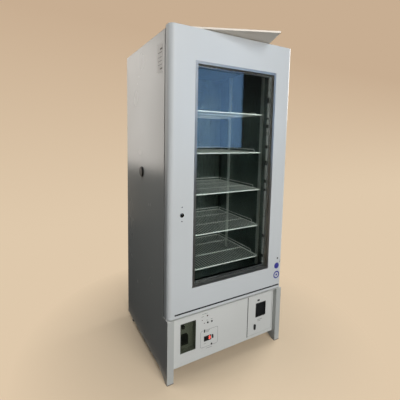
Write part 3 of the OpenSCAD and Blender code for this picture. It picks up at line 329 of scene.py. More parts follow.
def glowing(name, colour, lit, strength):
    made, tree, shader, place = new_material(name, IOR=1.5, Roughness=0.25)
    shader.inputs["Emission Color"].default_value = linear(lit)
    shader.inputs["Emission Strength"].default_value = strength
    grain = scale_range(tree, noise(tree, place, 2.5, 2), 0.3, 0.7, 0.0, 1.0)
    feed(tree, shader, Base_Color=blend_colour(tree, grain, linear(colour), linear(lit)))
    return made


window_glass = clear_sheet("glass_coated_float", "#f6f8f6", 0.0, 1.27, "#f2f5f3")
smoked_acrylic = clear_sheet("acrylic_smoked_cast", "#c6c9c0", 0.03, 1.49, "#bfc2b9")
lamp_red = glowing("acrylic_red_lens", "#3a1512", "#4a1a15", 0.0)
digit_red = glowing("led_red_lit", "#ff4638", "#ff6a5c", 3.2)
digit_dark = glowing("led_red_unlit", "#2a1213", "#311415", 0.0)
print("clear materials made")

# %% [markdown]
# ## Dress the CAD nodes
# Nodes whose shape is right keep their mesh and get a finish. A dictionary keeps the whole list in one
# place.

# %% Give each CAD node its finish
finishes = {
    door_paint: ["door_skin", "door_inner_panel"],
    cabinet_paint: ["side_panel_left", "side_panel_right", "top_panel"],
    panel_paint: ["control_panel", "service_hatch", "machine_deck"],
    spare_paint: ["loose_cover_panel"],
    galvanised: ["rear_panel", "floor_plate", "control_box"],
    stainless_liner: ["chamber_liner", "duct_panel"],
    standard_steel: ["shelf_standards", "shelf_clips"],
    frame_abs: ["front_frame"],
    foam_core: ["insulation_foam", "door_foam"],
    aluminium_trim: ["window_trim"],
    window_glass: ["outer_pane", "inner_pane"],
    smoked_acrylic: ["smoked_cover"],
    gasket_vinyl: ["door_gasket"],
    bush_nylon: ["door_bushes"],
    zinc_plate: ["hinge_brackets", "hinge_pins", "lock_strike", "cabinet_screws"],
    lock_chrome: ["lock_housing", "lock_barrel"],
    tray_grey: ["control_tray"],
    black_abs: ["access_port", "timer_unit", "display_module", "up_button", "down_button", "alarm_button",
                "light_switch", "hatch_window", "hatch_latch", "thermostat_dial", "port_cap",
                "power_inlet"],
    lamp_red: ["indicator_lamps"],
    foot_rubber: ["front_glides"],
    dark_steel: ["rear_feet", "heater", "fan_shroud"],
    wire_epoxy: ["shelf_1", "shelf_2", "shelf_3", "shelf_4", "shelf_5"],
    fan_nylon: ["circulation_fan", "condenser_fan"],
    motor_steel: ["fan_motor"],
    fin_aluminium: ["evaporator", "condenser"],
    compressor_enamel: ["compressor"],
}
dressed = 0
for finish, names in finishes.items():
    for node_name in names:
        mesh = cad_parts[node_name].data
        mesh.materials.clear()
        mesh.materials.append(finish)
        dressed += 1
print("CAD nodes dressed:", dressed, "of", len(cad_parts))

# %% [markdown]
# ## Tools for pieces
# Two ways of making a mesh serve the whole object. A turned or boxed shape is built in bmesh, with real
# rounded edges. Things that repeat, or that follow a line, are grown by Geometry Nodes: a tree is built
# with named inputs, run once, and its result kept as a plain mesh that then rides on a CAD body.

# %% Mesh helpers
def mesh_of(name, shape):
    mesh = bpy.data.meshes.new(name)
    shape.to_mesh(mesh)
    shape.free()
    return mesh


def hand_over(made, body, stands_for):
    """Tells the frame which body carries a piece, and the nodes it replaces."""
    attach(made, body)
    if stands_for:
        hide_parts(*stands_for)
    print(made.name, "has", len(made.data.polygons), "faces")


def keep_piece(name, shape, finish, body, slot, *stands_for, smooth=True):
    bmesh.ops.remove_doubles(shape, verts=shape.verts, dist=1e-6)
    bmesh.ops.recalc_face_normals(shape, faces=shape.faces)
    mesh = mesh_of(name, shape)
    if smooth:
        mesh.set_sharp_from_angle(angle=math.radians(35))
    mesh.materials.append(finish)
    hand_over(put_in_scene(name, mesh), body, stands_for)

# %% [markdown]
# Plates, mouldings and strips are boxes. A real edge is never quite sharp, so each box has an edge
# radius, which gives it a thin line of light.

# %% Rounded boxes
def rounded_box(shape, low, high, radius, steps=3):
    low, high = Vector(low), Vector(high)
    stretch = Matrix.Translation((low + high) / 2) @ Matrix.Diagonal((*(high - low), 1))
    fresh = bmesh.ops.create_cube(shape, size=1.0, matrix=stretch)["verts"]
    edges = {e for v in fresh for e in v.link_edges}
    bmesh.ops.bevel(shape, geom=list(edges), offset=radius, segments=steps, profile=0.5, affect="EDGES")


def boxed_piece(name, boxes, finish, body, slot, steps=3, smooth=True):
    """Makes one piece of rounded boxes, each given as (low corner, high corner, edge radius)."""
    shape = bmesh.new()
    for low, high, radius in boxes:
        rounded_box(shape, low, high, radius, steps)
    keep_piece(name, shape, finish, body, slot, smooth=smooth)

# %% [markdown]
# Knobs, nuts and screws are turned on a lathe, and so are they here: a profile is spun about an axis,
# points on the axis become poles, and open ends are closed.

# %% Turned shapes
def turned(shape, profile, centre, axis, steps=48):
    """Turns a profile of (radius, height) points about an axis through centre."""
    spin = Vector((0, 0, 1)).rotation_difference(Vector(axis)).to_matrix()
    rings = []
    for radius, height in profile:
        angles = [2 * math.pi * k / steps for k in range(steps)] if radius > 0 else [0.0]
        rings.append([shape.verts.new(Vector(centre) + spin @ Vector((
            radius * math.cos(angle), radius * math.sin(angle), height))) for angle in angles])
    for below, above in zip(rings, rings[1:]):
        for k in range(steps):
            corners = [ring[i % len(ring)] for ring, i in
                       ((below, k), (below, (k + 1) % steps), (above, (k + 1) % steps), (above, k))]
            shape.faces.new([v for i, v in enumerate(corners) if v not in corners[:i]])
    for ring in (rings[0], rings[-1]):
        if len(ring) > 1:
            shape.faces.new(ring)


print("mesh helpers ready")

# %% [markdown]
# A Geometry Nodes tree here always has the same start and end: named inputs, then Realize Instances and
# Set Material. The first two functions hold that frame, and each piece adds its own nodes between them.
# The third runs a tree and keeps what it made.

# %% Geometry Nodes helpers
def start_tree(name, numbers, **others):
    """Starts a tree with number inputs, named in a list, and others, named with their kinds."""
    tree = bpy.data.node_groups.new(name, "GeometryNodeTree")
    inputs = {"Geometry": "Geometry", **{label: "Float" for label in numbers}, **others, "Finish": "Material"}
    for label, kind in inputs.items():
        tree.interface.new_socket(label, in_out="INPUT", socket_type="NodeSocket" + kind)
    tree.interface.new_socket("Geometry", in_out="OUTPUT", socket_type="NodeSocketGeometry")
    return tree, add(tree, "NodeGroupInput").outputs


def end_tree(tree, given, geometry):
    real = out(tree, "GeometryNodeRealizeInstances", {"Geometry": geometry})
    painted = out(tree, "GeometryNodeSetMaterial", {"Geometry": real, "Material": given["Finish"]})
    add(tree, "NodeGroupOutput", {"Geometry": painted})


def grow(name, tree, start, values, finish, body, slot, *stands_for):
    """Runs a tree on a starting mesh of (points, edges) and keeps the result as a plain mesh."""
    mesh = bpy.data.meshes.new(name)
    mesh.from_pydata(start[0], start[1], [])
    made = put_in_scene(name, mesh)
    grower = made.modifiers.new("grow", "NODES")
    grower.node_group = tree
    sockets = {s.name: s.identifier for s in tree.interface.items_tree if s.in_out == "INPUT"}
    for label, value in {**values, "Finish": finish}.items():
        grower[sockets[label]] = value
    ready = made.evaluated_get(bpy.context.evaluated_depsgraph_get())
    plain = bpy.data.meshes.new_from_object(ready)
    plain.name = name
    made.modifiers.clear()
    made.data = plain
    plain.set_sharp_from_angle(angle=math.radians(40))
    hand_over(made, body, stands_for)

# %% [markdown]
# Some steps come back in several trees: bending the corners of a line, sweeping a round wire along it,
# copying a piece to points, and moving a result.

# %% Steps that trees share
def vector(tree, x=0.0, y=0.0, z=0.0):
    return out(tree, "ShaderNodeCombineXYZ", {"X": x, "Y": y, "Z": z})


def bent(tree, line, radius, steps, limit=False):
    corner = {"Curve": line, "Radius": radius, "Count": steps, "Limit Radius": limit}
    return out(tree, "GeometryNodeFilletCurve", corner, mode="POLY")


def swept(tree, line, radius, sides):
    ring = out(tree, "GeometryNodeCurvePrimitiveCircle", {"Resolution": sides, "Radius": radius})
    return out(tree, "GeometryNodeCurveToMesh", {"Curve": line, "Profile Curve": ring, "Fill Caps": True})


def straight(tree, end, radius, sides):
    return swept(tree, out(tree, "GeometryNodeCurvePrimitiveLine", {"End": end}), radius, sides)


def copies(tree, piece, points, **more):
    return out(tree, "GeometryNodeInstanceOnPoints", {"Points": points, "Instance": piece, **more})


def row(tree, count, offset, start=(0, 0, 0)):
    return out(tree, "GeometryNodeMeshLine", {"Count": count, "Start Location": start, "Offset": offset})


def moved(tree, geometry, **how):
    return out(tree, "GeometryNodeTransform", {"Geometry": geometry, **how})


print("node helpers ready")

# %% [markdown]
# ## Wire shelves
# A shelf is a ring of 6 mm wire with bent corners. Two cross bars are welded under it and 3 mm wires run
# front to back on top. A raised rail keeps bottles off the side walls and the rear duct. It could be
# drawn wire by wire, but its rule is simple, so one tree grows it: the ring is a filleted rectangle, the
# fine wires are one wire on a row of points, and the rail follows a given path with its corners rounded.

# %% Shelf tree
shelf_tree, given = start_tree("wire_shelf", (
    "Width", "Depth", "Level", "Front", "Ring Radius", "Wire Radius", "Wire Pitch", "Bar Radius",
    "Bar Spacing", "Bend"))
rectangle = out(shelf_tree, "GeometryNodeCurvePrimitiveQuadrilateral",
                {"Width": given["Width"], "Height": given["Depth"]})
middle_y = maths(shelf_tree, "ADD", given["Front"], maths(shelf_tree, "MULTIPLY", given["Depth"], 0.5))
ring = moved(shelf_tree, swept(shelf_tree, bent(shelf_tree, rectangle, given["Bend"], 8),
                               given["Ring Radius"], 16),
             Translation=vector(shelf_tree, 0.0, middle_y, given["Level"]))

count = maths(shelf_tree, "FLOOR", maths(shelf_tree, "DIVIDE", given["Width"], given["Wire Pitch"]))
row_width = maths(shelf_tree, "MULTIPLY", maths(shelf_tree, "SUBTRACT", count, 1.0), given["Wire Pitch"])
first_x = maths(shelf_tree, "MULTIPLY", row_width, -0.5)
wire_level = maths(shelf_tree, "ADD", given["Level"], 1.5 * MM)
wire_row = row(shelf_tree, count, vector(shelf_tree, given["Wire Pitch"]),
               vector(shelf_tree, first_x, given["Front"], wire_level))
one_wire = straight(shelf_tree, vector(shelf_tree, 0.0, given["Depth"]), given["Wire Radius"], 8)
wires = copies(shelf_tree, one_wire, wire_row)

left_x = maths(shelf_tree, "MULTIPLY", given["Width"], -0.5)
bar_y = maths(shelf_tree, "ADD", given["Front"], given["Bar Spacing"])
bar_level = maths(shelf_tree, "SUBTRACT", given["Level"], 0.5 * MM)
bar_row = row(shelf_tree, 2, vector(shelf_tree, 0.0, given["Bar Spacing"]),
              vector(shelf_tree, left_x, bar_y, bar_level))
one_bar = straight(shelf_tree, vector(shelf_tree, given["Width"]), given["Bar Radius"], 12)
bars = copies(shelf_tree, one_bar, bar_row)

rail_path = out(shelf_tree, "GeometryNodeMeshToCurve", {"Mesh": given["Geometry"]})
rail = swept(shelf_tree, bent(shelf_tree, rail_path, given["Bend"], 6, True), given["Bar Radius"], 12)
everything = add(shelf_tree, "GeometryNodeJoinGeometry")
for part in (ring, wires, bars, rail):
    shelf_tree.links.new(part, everything.inputs[0])
end_tree(shelf_tree, given, everything.outputs[0])
print("shelf tree has", len(shelf_tree.nodes), "nodes")

# %% [markdown]
# Each shelf's size comes from its CAD node: the ring's wire is 6 mm thick, so the ring's line runs 3 mm
# inside the node's box, and the rail's line is 2 mm under its top.

# %% Grow the five shelves
ring_radius, rail_radius = 3 * MM, 2 * MM
rail_start, rear_legs = 65 * MM, 16 * MM
for number in range(1, 6):
    low, high = low_high("shelf_%d" % number)
    x, front, back = high.x - ring_radius, low.y + ring_radius, high.y - ring_radius
    level, rail_top, rail_front = low.z + ring_radius, high.z - rail_radius, low.y + rail_start
    path = [(-x, rail_front, level), (-x, rail_front, rail_top), (-x, back, rail_top),
            (x, back, rail_top), (x, rail_front, rail_top), (x, rail_front, level)]
    legs = [(side, back - rear_legs, z) for side in (-x, x) for z in (level, rail_top)]
    grow("wire_shelf_%d" % number, shelf_tree,
         (path + legs, [(k, k + 1) for k in range(5)] + [(6, 7), (8, 9)]),
         {"Width": 2 * x, "Depth": back - front, "Level": level, "Front": front,
          "Ring Radius": ring_radius, "Wire Radius": 1.5 * MM, "Wire Pitch": 15 * MM,
          "Bar Radius": rail_radius, "Bar Spacing": 150 * MM, "Bend": 9 * MM},
         wire_epoxy, "cabinet", "white_wire", "shelf_%d" % number)

# %% [markdown]
# ## Screws
# Pan-head screws hold the back sheet and the top hinge bracket. A head is 8 mm wide with a cross recess.
# One head is turned and cut once, and a tree stamps it on a list of points, turned the way the screws
# face.

# %% Stamp tree
stamp_tree, given = start_tree("stamp_on_points", (), Piece="Object", Turn="Vector")
info = add(stamp_tree, "GeometryNodeObjectInfo", {"Object": given["Piece"]})
end_tree(stamp_tree, given, copies(stamp_tree, info.outputs["Geometry"], given["Geometry"],
                                   Rotation=given["Turn"]))

# %% [markdown]
# A piece that is stamped is made once as a pattern, and the pattern is removed when all its copies stand.
# A recess is cut with an exact Boolean, whose result is kept as a plain mesh.

# %% Patterns and cuts
def pattern_object(name, shape):
    bmesh.ops.recalc_face_normals(shape, faces=shape.faces)
    return put_in_scene(name, mesh_of(name, shape))


def cut(target, tool):
    knife = target.modifiers.new("cut", "BOOLEAN")
    knife.operation, knife.object, knife.solver = "DIFFERENCE", tool, "EXACT"
    ready = target.evaluated_get(bpy.context.evaluated_depsgraph_get())
    target.data = bpy.data.meshes.new_from_object(ready)
    target.modifiers.clear()
    bpy.data.objects.remove(tool)

# %% [markdown]
# The head's outline is turned, and two small crossed blocks cut the recess for the driver into its top.

# %% Screw head
screw_shape = bmesh.new()
head_profile = [mm(*point) for point in ((4.0, 0), (4.0, 0.7), (3.5, 1.3), (2.4, 1.8), (0, 2.0))]
turned(screw_shape, head_profile, (0, 0, 0), (0, 0, 1), 24)
screw_head = pattern_object("screw_pattern", screw_shape)
cross_shape = bmesh.new()
slot_long, slot_wide, slot_floor, slot_top = 2.2, 0.45, 0.9, 3.0
for x, y in ((slot_long, slot_wide), (slot_wide, slot_long)):
    rounded_box(cross_shape, mm(-x, -y, slot_floor), mm(x, y, slot_top), 0.1 * MM, 1)
cut(screw_head, pattern_object("cross_pattern", cross_shape))

# %% [markdown]
# Seven screws run up each edge of the back sheet, and two hold the hinge bracket on the cabinet's top.

# %% Screws on the cabinet
screw_low, screw_high = low_high("cabinet_screws")
sheet_low, sheet_high = low_high("rear_panel")
screws_a_side, head_radius, head_height = 7, 4 * MM, 2 * MM
screw_pitch = (sheet_high.z - sheet_low.z - 40 * MM) / (screws_a_side - 1)
back_screws = [(side * (screw_high.x - head_radius), screw_high.y - head_height,
                screw_low.z + head_radius + k * screw_pitch)
               for side in (-1, 1) for k in range(screws_a_side)]
grow("back_sheet_screws", stamp_tree, (back_screws, []),
     {"Piece": screw_head, "Turn": (-math.pi / 2, 0, 0)},
     zinc_plate, "cabinet", "zinc_steel", "cabinet_screws")
bracket_x, bracket_y = middle("hinge_pins").x - 3 * MM, low_high("front_frame")[0].y
plate_top = low_high("top_panel")[1].z + 3 * MM
grow("hinge_screws", stamp_tree, ([(bracket_x, bracket_y + d * MM, plate_top) for d in (26, 54)], []),
     {"Piece": screw_head, "Turn": (0, 0, 0.4)}, zinc_plate, "cabinet", "zinc_steel")

# %% [markdown]
# ## Pressed air louvres
# Air leaves the machine room through the back. Each slot is pressed with a low hood that sheds dust and
# water, a shallow blister open underneath. One hood is shaped and stamped over every slot.

# %% Louvre hoods
hood_shape = bmesh.new()
hood_length, hood_height, hood_out, hood_sheet = 230 * MM, 9 * MM, 1.6 * MM, 0.5 * MM
along, around = 8, 6
arcs = []
for k in range(along + 1):
    swell = math.sqrt(max(0.0, 1 - (2 * k / along - 1) ** 8))
    arc = []
    for j in range(around + 1):
        angle = math.radians(90 * j / around)
        arc.append(hood_shape.verts.new((hood_length * (k / along - 0.5), hood_out * swell * math.cos(angle),
                                         hood_height * (0.15 + 0.85 * math.sin(angle)))))
    arcs.append(arc)
for first, second in zip(arcs, arcs[1:]):
    for j in range(around):
        hood_shape.faces.new((first[j], first[j + 1], second[j + 1], second[j]))
bmesh.ops.remove_doubles(hood_shape, verts=hood_shape.verts, dist=1e-6)
bmesh.ops.solidify(hood_shape, geom=hood_shape.faces[:], thickness=-hood_sheet)
hood = pattern_object("hood_pattern", hood_shape)
hood_x, hood_first, hood_pitch, hood_sunk = 145 * MM, 170 * MM, 18 * MM, 0.2 * MM
hood_points = [(side * hood_x, sheet_high.y - hood_sunk, hood_first + hood_pitch * k)
               for side in (-1, 1) for k in range(9)]
grow("air_louvres", stamp_tree, (hood_points, []), {"Piece": hood, "Turn": (0, 0, 0)},
     galvanised, "cabinet", "galvanised_steel")
for helper in (screw_head, hood):
    bpy.data.objects.remove(helper)

# %% [markdown]
# ## Thermostat dial
# The dial is a moulded knob with grip ribs round its rim and a white pointer line. The ribs repeat, so a
# tree places one rib on the points of a ring, and the ribs ride on the same body as the knob.

# %% Ribbed dial
dial_low, dial_high = low_high("thermostat_dial")
dial_x, dial_y, dial_z = middle("thermostat_dial").x, dial_low.y, middle("thermostat_dial").z
dial_radius, dial_deep = (dial_high.x - dial_low.x) / 2, dial_high.y - dial_low.y
dial_shape = bmesh.new()
turned(dial_shape, [(0, 0), (dial_radius * 0.60, 0), (dial_radius * 0.70, 0.8 * MM),
                    (dial_radius * 0.86, 2.2 * MM), (dial_radius * 0.90, 11 * MM),
                    (dial_radius * 0.98, 12 * MM), (3 * MM, 12 * MM), (3 * MM, dial_deep - 0.1 * MM),
                    (0, dial_deep)], (dial_x, dial_y, dial_z), (0, 1, 0))
keep_piece("dial_body", dial_shape, black_abs, "dial", "dark_plastic", "thermostat_dial")

# %% [markdown]
# Twenty-four ribs of round section stand round the rim, so that the dial can be turned with a damp glove.
# The pointer is a line of white ink that lies a little proud.

# %% Ribs and pointer
rib_tree, given = start_tree("rib_ring", ("Radius", "Rib Radius", "Length"), Count="Int", Centre="Vector")
ring_points = out(rib_tree, "GeometryNodeCurvePrimitiveCircle",
                  {"Resolution": given["Count"], "Radius": given["Radius"]})
rib = straight(rib_tree, vector(rib_tree, 0.0, 0.0, given["Length"]), given["Rib Radius"], 6)
end_tree(rib_tree, given, moved(rib_tree, copies(rib_tree, rib, ring_points),
                                Translation=given["Centre"], Rotation=(-math.pi / 2, 0, 0)))
grow("dial_ribs", rib_tree, ([], []),
     {"Count": 24, "Radius": dial_radius * 0.87, "Rib Radius": 0.8 * MM, "Length": 8 * MM,
      "Centre": (dial_x, dial_y + 3 * MM, dial_z)}, black_abs, "dial", "dark_plastic")
white_ink = moulded("ink_white_printed", "#e6e6e0", "#d2d2ca", 0.5, 1.0, 0.005)
boxed_piece("dial_pointer", [((dial_x - 0.6 * MM, dial_y - 0.15 * MM, dial_z + 1 * MM),
                              (dial_x + 0.6 * MM, dial_y + 0.5 * MM, dial_z + dial_radius * 0.58), 0.1 * MM)],
            white_ink, "dial", "dark_plastic", 2)

# %% [markdown]
# ## Controls in the base
# The display is a black window with seven-segment digits, and only its last digit is lit. Each digit is
# seven small bars with rounded edges, so it glows with the right shape. Beside it are a slide switch and
# a printed outline that groups the controls. The names and signs that such a panel carries are left bare.

# %% Display digits
display_low, display_high = low_high("display_module")
display_z = (display_low.z + display_high.z) / 2
SEGMENTS = ((0, 1, "flat"), (0, 0, "flat"), (0, -1, "flat"), (-1, 0.5, "tall"), (1, 0.5, "tall"),
            (-1, -0.5, "tall"), (1, -0.5, "tall"))


def digit(left, wide=7 * MM, high=15 * MM, bar=1.7 * MM):
    for across, upward_step, kind in SEGMENTS:
        x, z = left + across * wide / 2, display_z + upward_step * high / 2
        half_x, half_z = bar / 2, high / 4 - bar * 0.6
        if kind == "flat":
            half_x, half_z = wide / 2 - bar * 0.6, bar / 2
        yield ((x - half_x, display_low.y - 0.15 * MM, z - half_z),
               (x + half_x, display_low.y + 0.3 * MM, z + half_z), 0.12 * MM)


first_digit, digit_pitch = 8.5 * MM, 12.5 * MM
for k, (finish, label) in enumerate(((digit_dark, "left"), (digit_dark, "mid"), (digit_red, "right"))):
    boxed_piece("display_digit_" + label, digit(display_low.x + first_digit + digit_pitch * k),
                finish, "cabinet", "lamp_lens", 1)

# %% [markdown]
# The slide switch is a small black rider in a frame.

# %% Slide switch
front = Vector((0, panel_front, 0))
switch_frame = (front + mm(-140.5, -1.2, 181.5), front + mm(-133.5, 0.4, 196.5), 0.5 * MM)
switch_rider = (front + mm(-138.6, -3.4, 188), front + mm(-135.4, 0, 194), 0.6 * MM)
boxed_piece("slide_switch", (switch_frame, switch_rider), black_abs, "cabinet", "dark_plastic")

# %% [markdown]
# The outline groups the temperature controls. It is a closed line of grey ink with round corners, so a
# tree fillets a rectangle and sweeps a fine flat line along it, at any size.

# %% Printed outline
outline_tree, given = start_tree("printed_outline", ("Width", "Height", "Corner", "Line"), Centre="Vector")
outline = out(outline_tree, "GeometryNodeCurvePrimitiveQuadrilateral",
              {"Width": given["Width"], "Height": given["Height"]})
line = swept(outline_tree, bent(outline_tree, outline, given["Corner"], 8), given["Line"], 6)
flat_line = moved(outline_tree, line, Scale=(1, 1, 0.3))
end_tree(outline_tree, given, moved(outline_tree, flat_line, Translation=given["Centre"],
                                    Rotation=(math.pi / 2, 0, 0)))
grey_ink = moulded("ink_grey_printed", "#6b6d6b", "#7c7e7c", 0.5, 1.0, 0.005)
dark_ink = moulded("ink_black_printed", "#202020", "#2c2c2c", 0.5, 1.0, 0.005)
grow("control_outline", outline_tree, ([], []),
     {"Width": 102 * MM, "Height": 89 * MM, "Corner": 9 * MM, "Line": 0.7 * MM,
      "Centre": front + mm(-109, 0, 147.5)}, grey_ink, "cabinet", "dark_plastic")

# %% [markdown]
# Small legends are screen-printed round the controls. They carry no words here: each is a row of short
# strokes of the height of a capital letter, so that the panel reads as printed without saying anything.

# %% Printed strokes
def legends(name, body, face, rows):
    """Prints rows of strokes, each row as (x, z, lengths in mm, height in mm)."""
    strokes = []
    for x, z, lengths, high in rows:
        for length in lengths:
            strokes.append(((x, face - 0.12 * MM, z),
                            (x + length * MM, face + 0.1 * MM, z + high * MM), 0.04 * MM))
            x += (length + 1.6) * MM
    boxed_piece(name, strokes, grey_ink, body, "dark_plastic", 1, smooth=False)


lamp_low, lamp_high = low_high("indicator_lamps")
alarm_low = low_high("alarm_button")[0]
up_low, up_high = low_high("up_button")
legends("printed_legends", "cabinet", panel_front, (
    (lamp_low.x + 2 * MM, lamp_high.z + 9 * MM, (7, 4, 9, 5), 2.2),
    (lamp_low.x - 2 * MM, lamp_high.z - 4 * MM, (5, 6), 2.2),
    (up_low.x - 1 * MM, up_high.z + 5 * MM, (5, 3), 2.2),
    (up_low.x + 24 * MM, up_high.z + 5 * MM, (6, 3), 2.2),
    (display_low.x + 12 * MM, display_high.z + 26 * MM, (8, 5, 6), 2.2),
    (display_low.x + 12 * MM, display_high.z + 21 * MM, (6, 9), 2.2),
    (display_low.x, display_low.z - 13 * MM, (6, 6), 1.8),
    (alarm_low.x - 24 * MM, alarm_low.z - 11 * MM, (6, 8, 5, 9), 2.2)))
legends("hatch_legends", "hatch", hatch_low.y, (
    (hatch_low.x + 14 * MM, hatch_high.z - 14 * MM, (8, 12, 5, 16, 9, 14, 7, 12), 2.2),
    (hatch_low.x + 70 * MM, hatch_low.z + 84 * MM, (10, 6, 12), 2.6),
    (hatch_low.x + 70 * MM, hatch_low.z + 76 * MM, (7, 13), 2.6)))

# %% [markdown]
# ## Stickers
# Round stickers sit on the door's lower right, over the start of its rounded edge. They are cut as flat
# discs and each point is then laid on the door's own curve. They carry plain shapes only.

# %% Lay stickers on the door
edge_radius, film = 24 * MM, 0.2 * MM


def door_face(x):
    past = abs(x) - (door_high.x - edge_radius)
    if past <= 0:
        return door_low.y
    past = min(past, edge_radius * 0.98)
    return door_low.y + edge_radius - math.sqrt(edge_radius ** 2 - past ** 2)


def close_ring(shape, loops):
    """Joins each loop of points to the next, and the last to the first."""
    for here, there in zip(loops, loops[1:] + loops[:1]):
        for j in range(len(here)):
            i = (j + 1) % len(here)
            shape.faces.new((here[j], here[i], there[i], there[j]))


def ring_sticker(name, x_mm, z_mm, inner_mm, outer_mm, finish, steps=56):
    shape = bmesh.new()
    loops = []
    for k in range(steps):
        angle = 2 * math.pi * k / steps
        loop = []
        for radius, proud in ((inner_mm, film / 4), (inner_mm, film), (outer_mm, film), (outer_mm, film / 4)):
            x, z = (x_mm + radius * math.cos(angle)) * MM, (z_mm + radius * math.sin(angle)) * MM
            loop.append(shape.verts.new((x, door_face(x) - proud, z)))
        loops.append(loop)
    close_ring(shape, loops)
    keep_piece(name, shape, finish, "door", "dark_plastic", smooth=False)


blue_vinyl = moulded("vinyl_sticker_blue", "#33338c", "#4a4a9c", 0.35, 1.5, 0.01)
ring_sticker("sticker_blue_disc", 307.5, 449, 0.5, 17, blue_vinyl)
ring_sticker("sticker_blue_ring", 309, 396, 14.5, 21.5, blue_vinyl)
ring_sticker("sticker_ring_centre", 309, 396, 0.5, 6.0, blue_vinyl)
ring_sticker("sticker_black_dot", 312, 491, 0.4, 5, dark_ink)

# %% [markdown]
# A pen mark of two short slanted strokes runs beside the stickers, laid on the door's curve like them.

# %% Pen mark
mark = bmesh.new()
half_stroke = 1.4 * MM
for foot, head in (((326.5, 463), (328.5, 468)), ((331.5, 464), (334.5, 482))):
    lower, upper = [[mark.verts.new((x, door_face(x) - proud, z * MM)) for x, proud in
                     ((middle_x * MM - half_stroke, 0), (middle_x * MM + half_stroke, 0),
                      (middle_x * MM + half_stroke, film), (middle_x * MM - half_stroke, film))]
                    for middle_x, z in (foot, head)]
    mark.faces.new(lower[::-1])
    mark.faces.new(upper)
    for j in range(4):
        i = (j + 1) % 4
        mark.faces.new((lower[j], lower[i], upper[i], upper[j]))
keep_piece("pen_mark", mark, dark_ink, "door", "dark_plastic", smooth=False)

# %% [markdown]
# Near the door's lower edge lies the finger groove, and a black strip stands in it as painted shade for
# the groove's shadow. It has two parts: the filling in the groove's back, and a thin lip that covers the
# edges of the folded sheet at the mouth.

# %% Groove strip of painted shade
groove_left = Vector((door_low.x, door_low.y, door_low.z + 17 * MM))
groove_right = Vector((door_high.x, door_low.y, door_low.z + 17 * MM))
# Painted shade: this black strip stands for the shadow inside the finger groove.
groove_shade_black = moulded("groove_painted_shade_black", "#0d0d0d", "#181818", 0.7, 2.0)
filling = (groove_left + mm(36.4, 1.2, -2.6), groove_right + mm(-22.4, 9.6, 2.6), 0.5 * MM)
lip = (groove_left + mm(35, -0.5, -3.6), groove_right + mm(-21, 1.6, 3.6), 0.4 * MM)
boxed_piece("groove_strip", (filling, lip), groove_shade_black, "door", "dark_plastic")

# %% [markdown]
# A black strip stands beside the hatch's free edge, in the joint, as painted shade for the shadow of that
# gap. It is rough and matte, so it hardly mirrors anything, and the strip reads as a black line.

# %% Strip of painted shade beside the hatch
# Painted shade: this black strip stands for the shadow in the hatch's joint.
hatch_gap_shade_black = moulded("hatch_gap_painted_shade", "#111111", "#1c1c1c", 0.85, 1.5)
proud, strip_wide, gap = 1.2 * MM, 3.6 * MM, 0.7 * MM
boxed_piece("hatch_strip", [
    ((hatch_low.x - gap - strip_wide, panel_front - proud, hatch_low.z + 2 * MM),
     (hatch_low.x - gap, panel_front + 0.3 * MM, hatch_high.z - 1 * MM), 0.4 * MM)],
    hatch_gap_shade_black, "cabinet", "dark_plastic")

# %% [markdown]
# ## Door gasket
# The seal is a soft vinyl bellows with a magnet strip in its lip, pushed into the door's back. Its
# section has two folds, so it springs. The section is swept round the opening with mitred corners.

# %% Bellows gasket
gasket_low, gasket_high = low_high("door_gasket")
deep, wide = gasket_high.y - gasket_low.y, 14 * MM
section = [(0.10, 0.0), (0.90, 0.0), (0.90, 0.22), (0.70, 0.34), (0.96, 0.50), (1.0, 0.66), (1.0, 0.97),
           (0.97, 1.0), (0.03, 1.0), (0.0, 0.97), (0.0, 0.66), (0.04, 0.50), (0.30, 0.34), (0.10, 0.22)]
shape = bmesh.new()
loops = []
for side_x, side_z in ((-1, -1), (1, -1), (1, 1), (-1, 1)):
    loop = []
    for across, outwards in section:
        x = gasket_low.x + across * wide if side_x < 0 else gasket_high.x - across * wide
        z = gasket_low.z + across * wide if side_z < 0 else gasket_high.z - across * wide
        loop.append(shape.verts.new((x, gasket_low.y + outwards * deep, z)))
    loops.append(loop)
close_ring(shape, loops)
keep_piece("bellows_gasket", shape, gasket_vinyl, "door", "gasket_vinyl", "door_gasket")

# %% [markdown]
# ## Pane spacer
# Between the two panes runs a hollow aluminium spacer, folded from mill-finish strip. Its inner face is
# pierced so that the drying beads inside can take up moisture. Its colour is painted light and shade: faces
# that look sideways get broken runs of painted highlight, so the upright sides read as a broken bright line,
# and all other faces, the level ones among them, are painted dark as the trim's shade.

# %% Spacer between the panes, with painted light
low, high = low_high("outer_pane")
spacer_front, spacer_back = high.y + 0.1 * MM, low_high("inner_pane")[0].y - 0.1 * MM
spacer_wide = 9 * MM
sides = [((x0, spacer_front, z0), (x1, spacer_back, z1), 0.4 * MM) for x0, x1, z0, z1 in (
    (low.x, high.x, low.z, low.z + spacer_wide), (low.x, high.x, high.z - spacer_wide, high.z),
    (low.x, low.x + spacer_wide, low.z + spacer_wide, high.z - spacer_wide),
    (high.x - spacer_wide, high.x, low.z + spacer_wide, high.z - spacer_wide))]
spacer_light_and_shade, tree, shader, place = new_material("aluminium_spacer_painted_light", Metallic=0.35, Roughness=0.55)
# Painted highlight: long runs up the height choose where the spacer is painted bright.
runs = scale_range(tree, noise(tree, place, 36, 1, (0.01, 0.01, 1)), 0.40, 0.46, 0.0, 1.0)
normal = add(tree, "ShaderNodeNewGeometry").outputs["Normal"]
